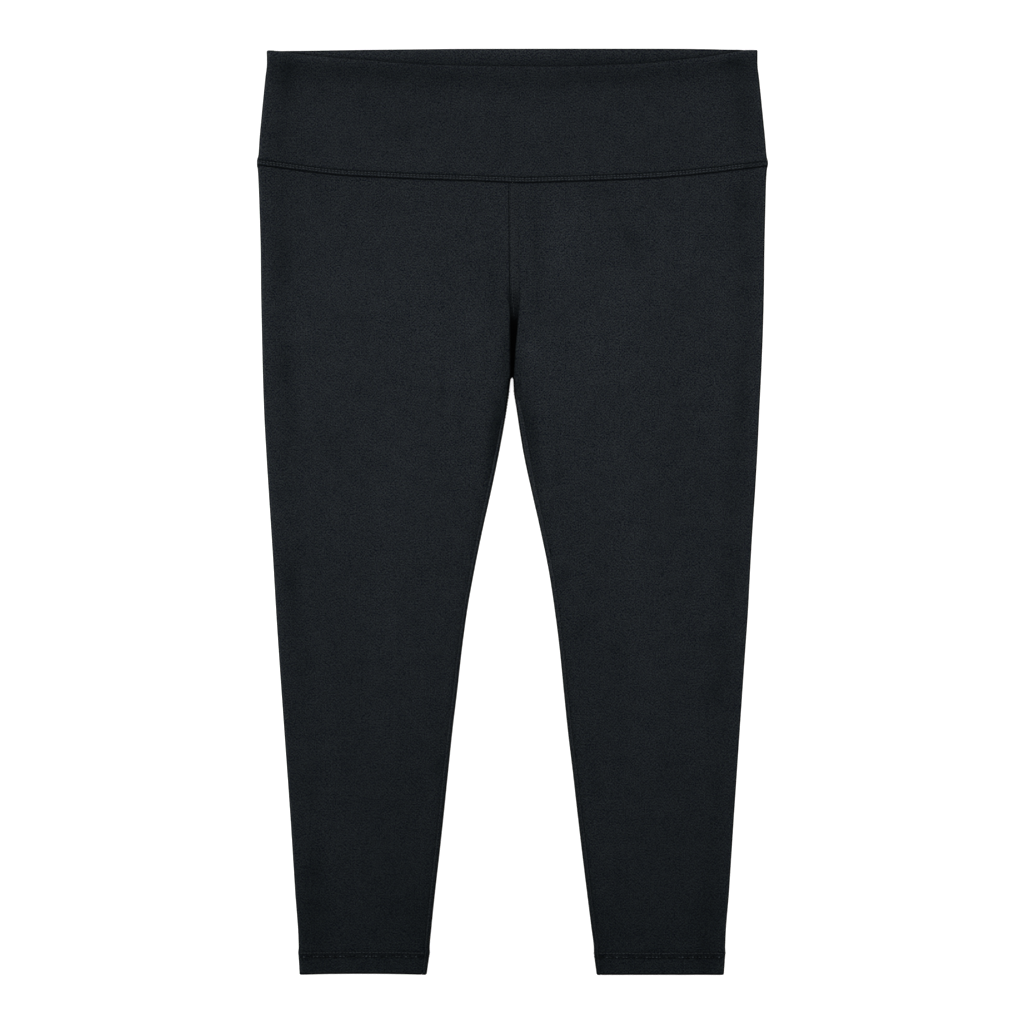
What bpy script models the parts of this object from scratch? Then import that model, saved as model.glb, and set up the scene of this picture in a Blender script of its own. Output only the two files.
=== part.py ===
"""Black knit leggings with a deep waistband, laid flat with the front upward.

Four cut pieces: one panel for each leg, wrapped from the centre front seam round the
side and under to the centre back seam, and a waistband front and back, each doubled
over at the top. A leg panel has no side seam. Below the crotch its two edges meet at
the inseam, which lies on the front just beside the inner fold, and its lowest 20 mm
are turned up as the hem. All cloth is a closed wall. The origin is under the middle
of the garment, +Y points to the waist, +X to the wearer's left and +Z up.

Every table is in millimetres. "down" is a distance from the back waist edge towards
the hems, and "across" one from the centre line towards the outer fold of a leg.
"""

import bpy
import numpy as np

MM = 0.001

# ---- driving sizes -------------------------------------------------------------------
LENGTH = 925.0            # back waist edge to hem
CLOTH = 1.2               # one layer of the knit
DOUBLED = 2 * CLOTH       # waistband and turned hem, layer on layer
SEAM_GAP = 0.3            # between two edges that are sewn together
WAIST_SEAM = 117.1        # down to the waist seam at the sides
CROTCH = 327.5            # down to the crotch point, where the legs part
HEM_DEPTH = 20.5          # turned-up cloth at each ankle
HEM_STEP = 3.0            # stretch over which the wall thickens into the hem
FOLDED_EDGE = 0.3         # flat left along the middle of a rounded, folded edge
FOLD_RADIUS = 2.8         # widest bend of a leg's inner fold
FOOT_RADIUS = 0.9         # bend at the foot of the crotch slot's walls
CENTRE_BACK = -0.5        # x of the centre back seam
WIDEST = 255.0            # half width at the waist seam

# The waist seam sags in front and lifts a little behind, as bows across the width.
FRONT_SEAM_SAG = 16.0
BACK_SEAM_LIFT = -2.0
SEAM_BOW_FADES = 90.0     # below this distance the rows of the legs run level

# Seam allowances, pressed flat and stitched down, stand proud of the cloth.
ALLOWANCE_HEIGHT = 0.45
FRONT_ALLOWANCE = 9.0     # beside the centre front seam, on the left leg
INSEAM_ALLOWANCE = 4.2    # between the inseam and the inner fold
WAIST_ALLOWANCE = 6.2     # above the waist seam
ALLOWANCE_STEP = 0.8      # width of the slope at the edge of an allowance
FRONT_ALLOWANCE_SINKS = (266.0, 300.0)   # from full height to none, down in the slot
INSEAM_ALLOWANCE_RISES = (334.0, 348.0)  # from none to full height, below the crotch


def smooth(keys, values, place):
    """Read a curve that runs through every row of a column and never overshoots."""
    steps = np.diff(keys)
    slopes = np.diff(values) / steps
    tangents = np.concatenate(([slopes[0]], np.zeros(len(keys) - 2), [slopes[-1]]))
    for row in range(1, len(keys) - 1):
        before, after = slopes[row - 1], slopes[row]
        if before * after > 0:
            tangents[row] = 2 * before * after / (before + after)
    place = np.clip(place, keys[0], keys[-1])
    row = np.clip(np.searchsorted(keys, place, side="right") - 1, 0, len(steps) - 1)
    t = (place - keys[row]) / steps[row]
    return (
        values[row] * (1 + 2 * t) * (1 - t) ** 2
        + values[row + 1] * t * t * (3 - 2 * t)
        + tangents[row] * steps[row] * t * (1 - t) ** 2
        - tangents[row + 1] * steps[row] * t * t * (1 - t)
    )


class Stations:
    """A short table: named columns, the first of them the place along the garment."""

    def __init__(self, names, *rows):
        names = names.split()
        self.columns = dict(zip(names, np.array(rows, dtype=float).T))
        self.keys = self.columns[names[0]]

    def at(self, name, place):
        return smooth(self.keys, self.columns[name], place)


# ---- outline, seen from above --------------------------------------------------------
BAND_OUTLINE = Stations(
    "down   right  left",
    (2.5, 245.4, 245.0),
    (14.5, 245.5, 244.9),
    (30.5, 247.2, 246.5),
    (50.5, 249.2, 248.6),
    (70.5, 251.1, 250.6),
    (90.5, 252.9, 252.6),
    (106.0, 254.3, 254.2),
    (110.5, 255.2, 255.2),
    (114.0, 255.5, 255.4),
    (117.1, 255.3, 254.9),
)
TOP_EDGE = Stations(
    "x       front",
    (-240.0, 0.0),
    (-193.0, 3.8),
    (-159.0, 6.9),
    (-90.0, 12.1),
    (0.0, 14.1),
    (50.0, 14.3),
    (130.0, 11.2),
    (166.0, 7.6),
    (201.0, 3.7),
    (230.0, 0.0),
)
LEG_OUTER = Stations(
    "down   right  left",
    (117.1, 254.7, 254.5),
    (122.0, 254.3, 253.9),
    (130.5, 253.8, 253.4),
    (160.5, 252.7, 252.6),
    (200.5, 251.6, 251.7),
    (240.5, 251.2, 251.2),
    (280.5, 250.4, 250.2),
    (320.5, 249.5, 248.6),
    (360.5, 248.2, 246.6),
    (400.5, 246.1, 244.7),
    (440.5, 243.6, 242.4),
    (480.5, 241.0, 239.7),
    (520.5, 238.5, 237.4),
    (560.5, 236.2, 235.3),
    (600.5, 233.6, 232.5),
    (680.5, 228.0, 227.0),
    (760.5, 222.3, 221.6),
    (840.5, 217.2, 216.4),
    (896.5, 213.7, 212.6),
    (902.5, 214.3, 213.0),
    (908.0, 213.9, 212.6),
    (925.0, 212.9, 211.4),
)
LEG_INNER = Stations(
    "down   right  left",
    (327.5, 2.0, 1.0),
    (340.5, 3.5, 1.6),
    (360.5, 6.4, 4.5),
    (380.5, 9.6, 7.5),
    (400.5, 13.3, 10.8),
    (420.5, 17.3, 14.8),
    (440.5, 21.5, 19.3),
    (480.5, 30.4, 28.3),
    (520.5, 38.5, 36.5),
    (560.5, 45.6, 42.6),
    (600.5, 50.6, 47.3),
    (640.5, 55.5, 51.5),
    (680.5, 60.3, 55.6),
    (720.5, 64.5, 60.4),
    (760.5, 68.6, 64.9),
    (800.5, 72.9, 69.6),
    (840.5, 77.5, 74.5),
    (880.5, 81.6, 79.5),
    (896.5, 82.9, 81.4),
    (902.5, 82.6, 81.3),
    (908.0, 83.4, 81.9),
    (925.0, 85.8, 84.1),
)

# ---- heights of the garment as it lies ----------------------------------------------
# "outer" at the outer fold, "middle" in the middle of a leg, "inner" beside the centre
# front or the inner fold, and "roll", how far the cloth has dropped at the fold itself.
LEG_LIE = Stations(
    "down   outer  middle  inner  roll",
    (117.1, 5.3, 4.9, 4.9, 0.0),
    (135.0, 4.9, 4.2, 4.4, 0.0),
    (165.0, 4.6, 3.9, 4.2, 0.0),
    (240.0, 4.5, 3.8, 4.5, 0.2),
    (272.0, 4.5, 3.9, 5.6, 0.4),
    (295.0, 4.5, 4.0, 6.3, 0.4),
    (329.5, 4.6, 4.1, 6.4, 0.4),
    (370.0, 4.6, 4.1, 6.0, 0.4),
    (420.0, 4.5, 3.9, 5.3, 0.3),
    (500.0, 4.5, 3.8, 4.8, 0.2),
    (700.0, 4.4, 3.7, 4.5, 0.1),
    (890.0, 4.5, 3.9, 4.5, 0.0),
    (904.0, 5.6, 5.3, 5.6, 0.0),
    (925.0, 5.6, 5.3, 5.6, 0.0),
)
OUTER_RISE_WIDTH = 14.0   # how far in the lift at an outer fold can be seen
INNER_RISE_WIDTH = 38.0
ROLL_WIDTH = 7.0
BAND_LIE = Stations(
    "down   side  middle",
    (0.0, 5.8, 5.8),
    (9.0, 5.8, 5.8),
    (24.0, 5.8, 5.4),
    (45.0, 5.8, 5.6),
    (95.0, 5.8, 5.6),
    (117.1, 5.8, 5.5),
)

# The crotch slot: walls of the two legs, the centre front seam on its floor, and how
# far that floor lies below the cloth beside it.
SLOT = Stations(
    "down   right  left  seam  drop",
    (117.1, 4.6, 7.2, -3.7, 0.0),
    (245.0, 4.4, 6.9, -3.4, 0.0),
    (256.0, 4.1, 6.5, -3.2, 0.5),
    (264.0, 3.8, 6.0, -2.9, 1.2),
    (272.0, 3.4, 5.0, -2.3, 2.1),
    (284.0, 2.8, 4.0, -1.6, 2.9),
    (300.0, 2.4, 3.1, -1.1, 3.2),
    (315.0, 2.2, 1.9, -0.9, 3.2),
    (327.5, 2.0, 1.0, -0.6, 3.2),
)

# Where the inseam runs: along the cloth from the crown of the inner fold, outward on
# the front where it is above zero, and down the fold towards the back below zero.
INSEAM = Stations(
    "down   right  left",
    (329.5, -5.0, -5.0),
    (336.0, -4.4, -2.8),
    (345.0, -3.4, -0.4),
    (360.0, -1.2, 2.2),
    (375.0, 0.3, 3.0),
    (400.0, 1.1, 3.4),
    (440.0, 2.0, 1.4),
    (490.0, 2.0, 2.0),
    (530.0, 1.0, 0.4),
    (620.0, 0.6, 0.2),
    (700.0, 0.8, 0.9),
    (925.0, 0.8, 0.9),
)

# Soft rises and hollows of the front as it lies: where, how wide, how long, how the
# length leans from the Y axis in degrees, and how high.
SWELLS = (
    dict(x=27.0, down=215.0, wide=9.0, long=75.0, lean=2.0, height=-0.35),
    dict(x=-170.0, down=330.0, wide=26.0, long=120.0, lean=3.0, height=-0.4),
    dict(x=168.0, down=350.0, wide=24.0, long=130.0, lean=-4.0, height=-0.4),
    dict(x=-110.0, down=250.0, wide=40.0, long=70.0, lean=-12.0, height=0.5),
    dict(x=105.0, down=270.0, wide=38.0, long=75.0, lean=14.0, height=0.5),
    dict(x=-205.0, down=185.0, wide=24.0, long=34.0, lean=40.0, height=-0.3),
    dict(x=-125.0, down=520.0, wide=24.0, long=140.0, lean=6.0, height=0.45),
    dict(x=128.0, down=560.0, wide=24.0, long=130.0, lean=-6.0, height=0.45),
    dict(x=-165.0, down=700.0, wide=20.0, long=110.0, lean=6.0, height=-0.3),
    dict(x=160.0, down=720.0, wide=20.0, long=100.0, lean=-6.0, height=-0.3),
)
SWELLS_START = 150.0      # the lie is even beside the waist seam
SWELLS_END = 880.0        # and beside the hems
SWELLS_KEEP_OFF = 14.0    # and at the folds

# ---- how finely the solids follow these curves ---------------------------------------
LEG_ROWS = (
    117.25, 121, 130, 148, 180, 215, 242, 256, 266, 276, 288, 304, 318, 327.5, 329.5, 332,
    336, 341, 347, 354, 362, 372, 386, 405, 430, 465, 510, 565, 630, 710, 790, 870, 900,
    904.5, 923, 924.2, 924.8, 925,
)
NEAR_EDGE = (0, 1, 2.4, 4, 5.8, 7.4, 8.6, 9.5, 15)   # along the cloth from a seam
FRONT_COLUMNS = 7
BACK_COLUMNS = 3
FOLD_COLUMNS = 6
BESIDE_FOLD = 3.0         # from a leg's outer bend to the next column of points
FACING_OUT = 0.3          # share of the outward direction that marks the outer bend
BAND_ROWS = (0, 0.25, 0.9, 2, 9, 24, 45, 70, 95, 107.3, 108.4, 111, 114.2, 114.45)
BAND_COLUMNS = 16
BAND_BEND = 4.4           # cloth in the quarter bend at each side of the band
BEND_COLUMNS = 5
ARC_POINTS = 13           # in the curve of one bend, from which the columns are read
TOP_POINTS = 80           # in the curve over the front of a leg or of the band
CLOSER_AT_START = 1.6     # how much closer those of a leg stand at the inner end
SAME_POINT = 1e-6


def bell(distance, width):
    """A soft rise: 1 at no distance, level there, and gone at about two widths."""
    return np.exp(-((distance / width) ** 2))


def ramp(place, start, end):
    """0 before start, 1 after end, and smooth between; start may be the larger."""
    t = np.clip((place - start) / (end - start), 0, 1)
    return t * t * (3 - 2 * t)


def strip(distance, width):
    """Profile of an allowance that starts at a seam and is this wide."""
    rising = ramp(distance, 0, ALLOWANCE_STEP)
    return rising * (1 - ramp(distance, width - ALLOWANCE_STEP / 2, width + ALLOWANCE_STEP / 2))


def swells(x, down):
    """Height that the soft folds of the front add at a place."""
    total = 0.0
    for fold in SWELLS:
        lean = np.radians(fold["lean"])
        off_x, off_y = x - fold["x"], fold["down"] - down
        along = off_y * np.cos(lean) + off_x * np.sin(lean)
        beside = off_x * np.cos(lean) - off_y * np.sin(lean)
        total = total + fold["height"] * bell(beside, fold["wide"]) * bell(along, fold["long"])
    return total * ramp(down, WAIST_SEAM, SWELLS_START) * ramp(down, SWELLS_END + 20, SWELLS_END)


def arc(across, height, radius, start, end):
    """Points and outward directions round a bend, angles in degrees from +across."""
    angles = np.radians(np.linspace(start, end, ARC_POINTS))
    outward = np.stack([np.cos(angles), np.sin(angles)], axis=1)
    return np.array([across, height]) + radius * outward, outward


def straight(start, end, outward):
    """Points and outward directions along a straight stretch."""
    return np.array([start, end], dtype=float), np.array([outward, outward], dtype=float)


def join(*stretches):
    """One run of points, outward directions and distances along the cloth."""
    points = np.concatenate([stretch[0] for stretch in stretches])
    outward = np.concatenate([stretch[1] for stretch in stretches])
    gaps = np.linalg.norm(np.diff(points, axis=0), axis=1)
    apart = gaps > SAME_POINT
    keep = np.concatenate(([True], apart))
    return points[keep], outward[keep], np.concatenate(([0.0], np.cumsum(gaps[apart])))


def read(run, places):
    """Points and outward directions at distances along a run."""
    points, outward, lengths = run
    found = np.stack([np.interp(places, lengths, points[:, k]) for k in (0, 1)], axis=1)
    facing = np.stack([np.interp(places, lengths, outward[:, k]) for k in (0, 1)], axis=1)
    return found, facing / np.linalg.norm(facing, axis=1, keepdims=True)


def cut_open(closed, seam):
    """Start a closed run just past a seam in it and end it just short of the seam."""
    around = closed[2][-1]
    last = around - SEAM_GAP
    places = (closed[2] - seam) % around
    places = np.unique(np.concatenate([[0.0], places[places < last], [last]]))
    points, outward = read(closed, (seam + places) % around)
    return points, outward, places


# ---- one level of a leg --------------------------------------------------------------
def leg_top(side, sign, down, start, end, crown):
    """The upper face of a leg between its inner and outer bends."""
    across = start + (end - start) * np.linspace(0, 1, TOP_POINTS) ** CLOSER_AT_START
    middle = LEG_LIE.at("middle", down)
    outer = LEG_LIE.at("outer", down)
    inner = LEG_LIE.at("inner", down)
    from_inner, from_outer = across - start, end - across
    height = (
        middle
        + (outer - middle) * bell(from_outer, OUTER_RISE_WIDTH)
        + (inner - middle) * bell(from_inner, INNER_RISE_WIDTH)
        - (inner - crown) * bell(from_inner, ROLL_WIDTH)
        + swells(sign * across, down)
        * (1 - bell(from_inner, SWELLS_KEEP_OFF))
        * (1 - bell(from_outer, SWELLS_KEEP_OFF))
    )
    slope = np.gradient(height, across)
    outward = np.stack([-slope, np.ones_like(slope)], axis=1)
    outward /= np.linalg.norm(outward, axis=1, keepdims=True)
    return np.stack([across, height], axis=1), outward


def leg_section(side, sign, down):
    """Outer face of a leg's cloth at one level, from its front edge to its back edge."""
    outer = LEG_OUTER.at(side, down)
    outer_radius = LEG_LIE.at("outer", down) / 2
    crown = LEG_LIE.at("inner", down) - LEG_LIE.at("roll", down)
    fold_start = outer - outer_radius
    outer_fold = arc(fold_start, outer_radius, outer_radius, 90, -90)
    if down <= CROTCH:
        wall, drop = SLOT.at(side, down), SLOT.at("drop", down)
        steep = np.arccos(max(-1, 1 - drop / (FOOT_RADIUS + FOLD_RADIUS)))
        seam_edge = sign * SLOT.at("seam", down) + SEAM_GAP / 2
        foot = wall - FOOT_RADIUS * np.sin(steep)
        shoulder = wall + FOLD_RADIUS * np.sin(steep)
        floor = crown - drop
        turn = np.degrees(steep)
        bend_up, inward = arc(foot, floor + FOOT_RADIUS, FOOT_RADIUS, -90, turn - 90)
        bend_over = arc(shoulder, crown - FOLD_RADIUS, FOLD_RADIUS, 90 + turn, 90)
        back_edge = sign * CENTRE_BACK + SEAM_GAP / 2
        return join(
            straight((seam_edge, floor), (foot, floor), (0, 1)),
            (bend_up, -inward),
            bend_over,
            leg_top(side, sign, down, shoulder, fold_start, crown),
            outer_fold,
            straight((fold_start, 0), (back_edge, 0), (0, -1)),
        )
    inner = LEG_INNER.at(side, down)
    radius = min(FOLD_RADIUS, crown / 2)
    fold_end = inner + radius
    closed = join(
        leg_top(side, sign, down, fold_end, fold_start, crown),
        outer_fold,
        straight((fold_start, 0), (fold_end, 0), (0, -1)),
        arc(fold_end, radius, radius, 270, 180),
        straight((inner, radius), (inner, crown - radius), (-1, 0)),
        arc(fold_end, crown - radius, radius, 180, 90),
    )
    return cut_open(closed, INSEAM.at(side, down) + SEAM_GAP / 2)


def leg_columns(run):
    """Distances along the cloth at which one level of a leg has its points."""
    points, outward, lengths = run
    fold = np.flatnonzero(outward[:, 0] > FACING_OUT)
    fold_start, fold_end = lengths[fold[0] - 1], lengths[fold[-1] + 1]
    near = np.array(NEAR_EDGE, dtype=float)
    return np.concatenate([
        near,
        np.linspace(near[-1], fold_start - BESIDE_FOLD, FRONT_COLUMNS + 1)[1:],
        np.linspace(fold_start, fold_end, FOLD_COLUMNS),
        np.linspace(fold_end + BESIDE_FOLD, lengths[-1] - near[-1], BACK_COLUMNS + 1)[:-1],
        lengths[-1] - near[::-1],
    ])


def leg_relief(side, down, from_front, from_back):
    """How far the allowances lift the outer face of a leg."""
    inseam = strip(from_back, INSEAM_ALLOWANCE) * ramp(down, *INSEAM_ALLOWANCE_RISES)
    if side == "right":
        return ALLOWANCE_HEIGHT * inseam
    centre_front = strip(from_front, FRONT_ALLOWANCE) * (1 - ramp(down, *FRONT_ALLOWANCE_SINKS))
    return ALLOWANCE_HEIGHT * (inseam + centre_front)


def facing_up(outward):
    """Share of a relief that shows: all on the front, none round the folds or beneath."""
    return np.clip(outward[:, 1], 0, 1)


def rounded_edge(distance, wall):
    """Half thickness of a wall at this distance from a folded edge."""
    reach = np.clip(distance / (wall / 2), 0, 1)
    return np.maximum(wall / 2 * np.sqrt(1 - (1 - reach) ** 2), FOLDED_EDGE / 2)


def waist_bow(x, amount):
    """How far the waist seam lies below its ends."""
    return amount * np.clip(1 - (x / WIDEST) ** 2, 0, 1)


def leg_grids(side, sign):
    """Outer and inner points of a leg panel, a row of points for each level."""
    outer_rows, inner_rows = [], []
    for down in LEG_ROWS:
        run = leg_section(side, sign, down)
        columns = leg_columns(run)
        points, outward = read(run, columns)
        hem_top = LENGTH - HEM_DEPTH
        wall = CLOTH + (DOUBLED - CLOTH) * ramp(down, hem_top - HEM_STEP, hem_top)
        half = rounded_edge(LENGTH - down, wall)
        relief = leg_relief(side, down, columns, columns[-1] - columns)
        relief = (relief * facing_up(outward))[:, None]
        is_front = np.arange(len(columns)) < len(columns) // 2
        x = sign * points[:, 0]
        bow = np.where(is_front, waist_bow(x, FRONT_SEAM_SAG), waist_bow(x, BACK_SEAM_LIFT))
        lower = down + bow * ramp(down, WAIST_SEAM + SEAM_BOW_FADES, WAIST_SEAM)
        outer_offset, inner_offset = relief - (wall / 2 - half), -(wall / 2 + half)
        for rows, offset in ((outer_rows, outer_offset), (inner_rows, inner_offset)):
            moved = points + offset * outward
            rows.append(np.stack([sign * moved[:, 0], LENGTH / 2 - lower, moved[:, 1]], axis=1))
    return np.array(outer_rows), np.array(inner_rows)


# ---- waistband -----------------------------------------------------------------------
def band_section(down, facing):
    """Outer face of the band's front (facing 1) or back (-1), right side to left side."""
    right, left = BAND_OUTLINE.at("right", down), BAND_OUTLINE.at("left", down)
    side_height = BAND_LIE.at("side", down)
    radius = side_height / 2
    gap_angle = np.degrees(SEAM_GAP / 2 / radius)
    if facing > 0:
        across = np.linspace(-right + radius, left - radius, TOP_POINTS)
        from_side = np.minimum(across - across[0], across[-1] - across)
        middle = BAND_LIE.at("middle", down)
        height = middle + (side_height - middle) * bell(from_side, OUTER_RISE_WIDTH)
        flat = np.stack([across, height], axis=1), np.tile([0.0, 1.0], (TOP_POINTS, 1))
        return join(
            arc(-right + radius, radius, radius, 180 - gap_angle, 90),
            flat,
            arc(left - radius, radius, radius, 90, gap_angle),
        )
    return join(
        arc(-right + radius, radius, radius, 180 + gap_angle, 270),
        straight((-right + radius, 0), (left - radius, 0), (0, -1)),
        arc(left - radius, radius, radius, 270, 360 - gap_angle),
    )


def band_grids(facing):
    """Outer and inner points of one half of the band, a row for each level."""
    depth = BAND_ROWS[-1]
    side_top = BAND_OUTLINE.keys[0]
    outer_rows, inner_rows = [], []
    for below_edge in BAND_ROWS:
        down = side_top + below_edge
        run = band_section(down, facing)
        total = run[2][-1]
        bend = np.linspace(0, BAND_BEND, BEND_COLUMNS)
        columns = np.concatenate([
            bend,
            np.linspace(2 * BAND_BEND, total - 2 * BAND_BEND, BAND_COLUMNS),
            total - bend[::-1],
        ])
        points, outward = read(run, columns)
        x = points[:, 0]
        if facing > 0:
            top = side_top + TOP_EDGE.at("front", x)
            seam = waist_bow(x, FRONT_SEAM_SAG)
            relief = ALLOWANCE_HEIGHT * strip(depth - below_edge, WAIST_ALLOWANCE)
            relief = (relief * facing_up(outward))[:, None]
        else:
            top = side_top * np.clip((x / WIDEST) ** 2, 0, 1)
            seam = waist_bow(x, BACK_SEAM_LIFT)
            relief = 0.0
        seam = seam + side_top + depth
        lower = top + (seam - top) * below_edge / depth
        half = rounded_edge(below_edge, DOUBLED)
        outer_offset, inner_offset = relief - (DOUBLED / 2 - half), -(DOUBLED / 2 + half)
        for rows, offset in ((outer_rows, outer_offset), (inner_rows, inner_offset)):
            moved = points + offset * outward
            rows.append(np.stack([moved[:, 0], LENGTH / 2 - lower, moved[:, 1]], axis=1))
    return np.array(outer_rows), np.array(inner_rows)


# ---- solids --------------------------------------------------------------------------
def knit(name):
    """Near-black brushed knit with a cool cast."""
    material = bpy.data.materials.new(name)
    material.use_nodes = True
    shader = material.node_tree.nodes["Principled BSDF"]
    shader.inputs["Base Color"].default_value = (0.015, 0.019, 0.022, 1)
    shader.inputs["Roughness"].default_value = 0.92
    shader.inputs["Metallic"].default_value = 0.0
    material.diffuse_color = (0.06, 0.075, 0.085, 1)
    return material


def wall_solid(name, outer, inner):
    """Close two grids of points, the faces of one wall, into a solid."""
    rows, columns = outer.shape[:2]
    points = np.concatenate([outer.reshape(-1, 3), inner.reshape(-1, 3)]) * MM
    inner_start = rows * columns

    def quad(row, column):
        first = row * columns + column
        return [first, first + 1, first + columns + 1, first + columns]

    faces = []
    for row in range(rows - 1):
        for column in range(columns - 1):
            face = quad(row, column)
            faces.append(face)
            faces.append([inner_start + corner for corner in reversed(face)])
    rim = list(range(columns))
    rim += [row * columns + columns - 1 for row in range(1, rows)]
    rim += [(rows - 1) * columns + column for column in range(columns - 2, -1, -1)]
    rim += [row * columns for row in range(rows - 2, 0, -1)]
    for here, there in zip(rim, rim[1:] + rim[:1]):
        # The two edges that face each other across a seam are split along the same
        # diagonal, from the inner point nearer the waist, so that they stay parallel.
        nearer, further = min(here, there), max(here, there)
        edge = [[further, nearer, inner_start + nearer],
                [further, inner_start + nearer, inner_start + further]]
        faces += edge if nearer == here else [triangle[::-1] for triangle in edge]
    mesh = bpy.data.meshes.new(name)
    mesh.from_pydata(points.tolist(), [], faces)
    mesh.update()
    body = bpy.data.objects.new(name, mesh)
    bpy.context.scene.collection.objects.link(body)
    mesh.materials.append(knit(name + "_knit"))
    mesh.shade_smooth()
    mesh.set_sharp_from_angle(angle=np.radians(50))
    return body


def turn_outward(body):
    """Reverse a solid whose faces point inward, as on the mirrored leg."""
    mesh = body.data
    mesh.calc_loop_triangles()
    corners = np.array([mesh.vertices[i].co for tri in mesh.loop_triangles for i in tri.vertices])
    a, b, c = corners.reshape(-1, 3, 3).transpose(1, 0, 2)
    if np.einsum("ij,ij->i", a, np.cross(b, c)).sum() < 0:
        mesh.flip_normals()


def build():
    for item in list(bpy.data.objects):
        bpy.data.objects.remove(item, do_unlink=True)
    for side, sign in (("right", -1), ("left", 1)):
        turn_outward(wall_solid("leg_" + side, *leg_grids(side, sign)))
    for half, facing in (("front", 1), ("back", -1)):
        turn_outward(wall_solid("waistband_" + half, *band_grids(facing)))


build()
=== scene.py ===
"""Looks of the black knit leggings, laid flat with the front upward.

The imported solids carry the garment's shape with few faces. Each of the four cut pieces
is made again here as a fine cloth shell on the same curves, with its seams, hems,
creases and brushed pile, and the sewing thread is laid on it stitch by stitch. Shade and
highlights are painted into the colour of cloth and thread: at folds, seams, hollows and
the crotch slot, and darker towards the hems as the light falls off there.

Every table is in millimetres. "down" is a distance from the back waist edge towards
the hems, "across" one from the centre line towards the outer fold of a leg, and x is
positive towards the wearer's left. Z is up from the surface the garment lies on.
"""

import bpy
import numpy as np
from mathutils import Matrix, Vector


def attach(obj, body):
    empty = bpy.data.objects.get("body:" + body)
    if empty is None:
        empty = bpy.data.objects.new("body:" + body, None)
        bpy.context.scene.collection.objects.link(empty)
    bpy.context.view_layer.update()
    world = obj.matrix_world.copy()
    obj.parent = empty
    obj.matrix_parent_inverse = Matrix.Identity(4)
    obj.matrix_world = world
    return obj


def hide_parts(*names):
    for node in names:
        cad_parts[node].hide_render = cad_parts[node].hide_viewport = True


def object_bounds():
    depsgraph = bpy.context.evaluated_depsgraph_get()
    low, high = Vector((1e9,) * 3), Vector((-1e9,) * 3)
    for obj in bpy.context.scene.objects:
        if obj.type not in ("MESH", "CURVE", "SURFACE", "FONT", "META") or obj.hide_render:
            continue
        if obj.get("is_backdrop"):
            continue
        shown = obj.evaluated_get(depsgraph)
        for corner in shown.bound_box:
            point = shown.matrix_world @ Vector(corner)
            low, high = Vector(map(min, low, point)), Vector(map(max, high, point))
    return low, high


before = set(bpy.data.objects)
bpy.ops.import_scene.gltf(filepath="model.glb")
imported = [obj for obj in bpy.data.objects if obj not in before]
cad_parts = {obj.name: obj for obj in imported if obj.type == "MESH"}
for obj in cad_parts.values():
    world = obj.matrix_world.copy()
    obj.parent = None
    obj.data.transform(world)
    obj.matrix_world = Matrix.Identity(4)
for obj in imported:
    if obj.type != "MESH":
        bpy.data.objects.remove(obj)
cad_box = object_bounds()

MM = 0.001

# ---- driving sizes, as in the part's source ----
LENGTH = 925.0            # back waist edge to hem
CLOTH = 1.2               # one layer of the knit
DOUBLED = 2 * CLOTH       # waistband and turned hem, layer on layer
SEAM_GAP = 0.3            # between two edges that are sewn together
WAIST_SEAM = 117.1        # down to the waist seam at the sides
CROTCH = 327.5            # down to the crotch point, where the legs part
HEM_DEPTH = 20.5          # turned-up cloth at each ankle
HEM_STEP = 3.0            # stretch over which the wall thickens into the hem
FOLDED_EDGE = 0.3         # flat left along the middle of a rounded, folded edge
FOLD_RADIUS = 2.8         # widest bend of a leg's inner fold
FOOT_RADIUS = 0.9         # bend at the foot of the crotch slot's walls
CENTRE_BACK = -0.5        # x of the centre back seam
WIDEST = 255.0            # half width at the waist seam
FRONT_SEAM_SAG = 16.0     # the waist seam sags in front, as a bow across the width
BACK_SEAM_LIFT = -2.0     # and lifts a little behind
SEAM_BOW_FADES = 90.0     # below this distance the rows of the legs run level
ALLOWANCE_HEIGHT = 0.45   # seam allowances, stitched down, stand proud of the cloth
FRONT_ALLOWANCE = 9.0     # beside the centre front seam, on the left leg
INSEAM_ALLOWANCE = 4.2    # between the inseam and the inner fold
WAIST_ALLOWANCE = 6.0     # above the waist seam; 6.2 in the part's source
ALLOWANCE_STEP = 0.8      # width of the slope at the edge of an allowance
FRONT_ALLOWANCE_SINKS = (266.0, 300.0)   # from full height to none, down in the slot
INSEAM_ALLOWANCE_RISES = (334.0, 348.0)  # from none to full height, below the crotch
OUTER_RISE_WIDTH = 14.0   # how far in the lift at an outer fold can be seen
INNER_RISE_WIDTH = 38.0
ROLL_WIDTH = 7.0

# ---- finer than the solids ----
DITCH_DEPTH = 0.7         # two edges roll down into the seam between them
DITCH_WIDTH = 0.5
WAIST_GROOVE_DEPTH = 1.0  # pressed by the upper row of stitches over the waist seam
PAINTED_SHADE_PER_MM = 0.50        # painted shade and light: colour this much lighter per mm that cloth lies higher, darker in hollows
EDGE_BAND = 20.0          # from an outer fold to the hollow that runs along it
SLACK = ((0.16, 46, 1), (0.07, 19, 2))   # soft waves: height, distance apart and seed
FOLD_FULLNESS = 0.35      # the pile stands this far out round a fold
FULLNESS_ENDS = (893.0, 901.0)    # and less and less above the hem
FOLD_HIGHLIGHT = 0.26         # painted highlight: how much lighter the colour is painted just inside a fold
FAR_FROM_FOLD = 50.0      # any distance at which a fold has no effect
HEM_DRAWN_UP = (868.0, 902.0)     # stretch over which the stitched hem draws up
HEM_LIFT = {"right": 0.45, "left": 0.28}
HEM_ARCH = {"right": 0.9, "left": 0.0}   # and how much further in its middle
# Down in the slot the edges of the front seam lie a little over each other, in parts of
# the gap, so that no light from the floor comes through.
FRONT_SEAM_CLOSES, OVERLAP = (234.0, 252.0), 1.3


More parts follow.
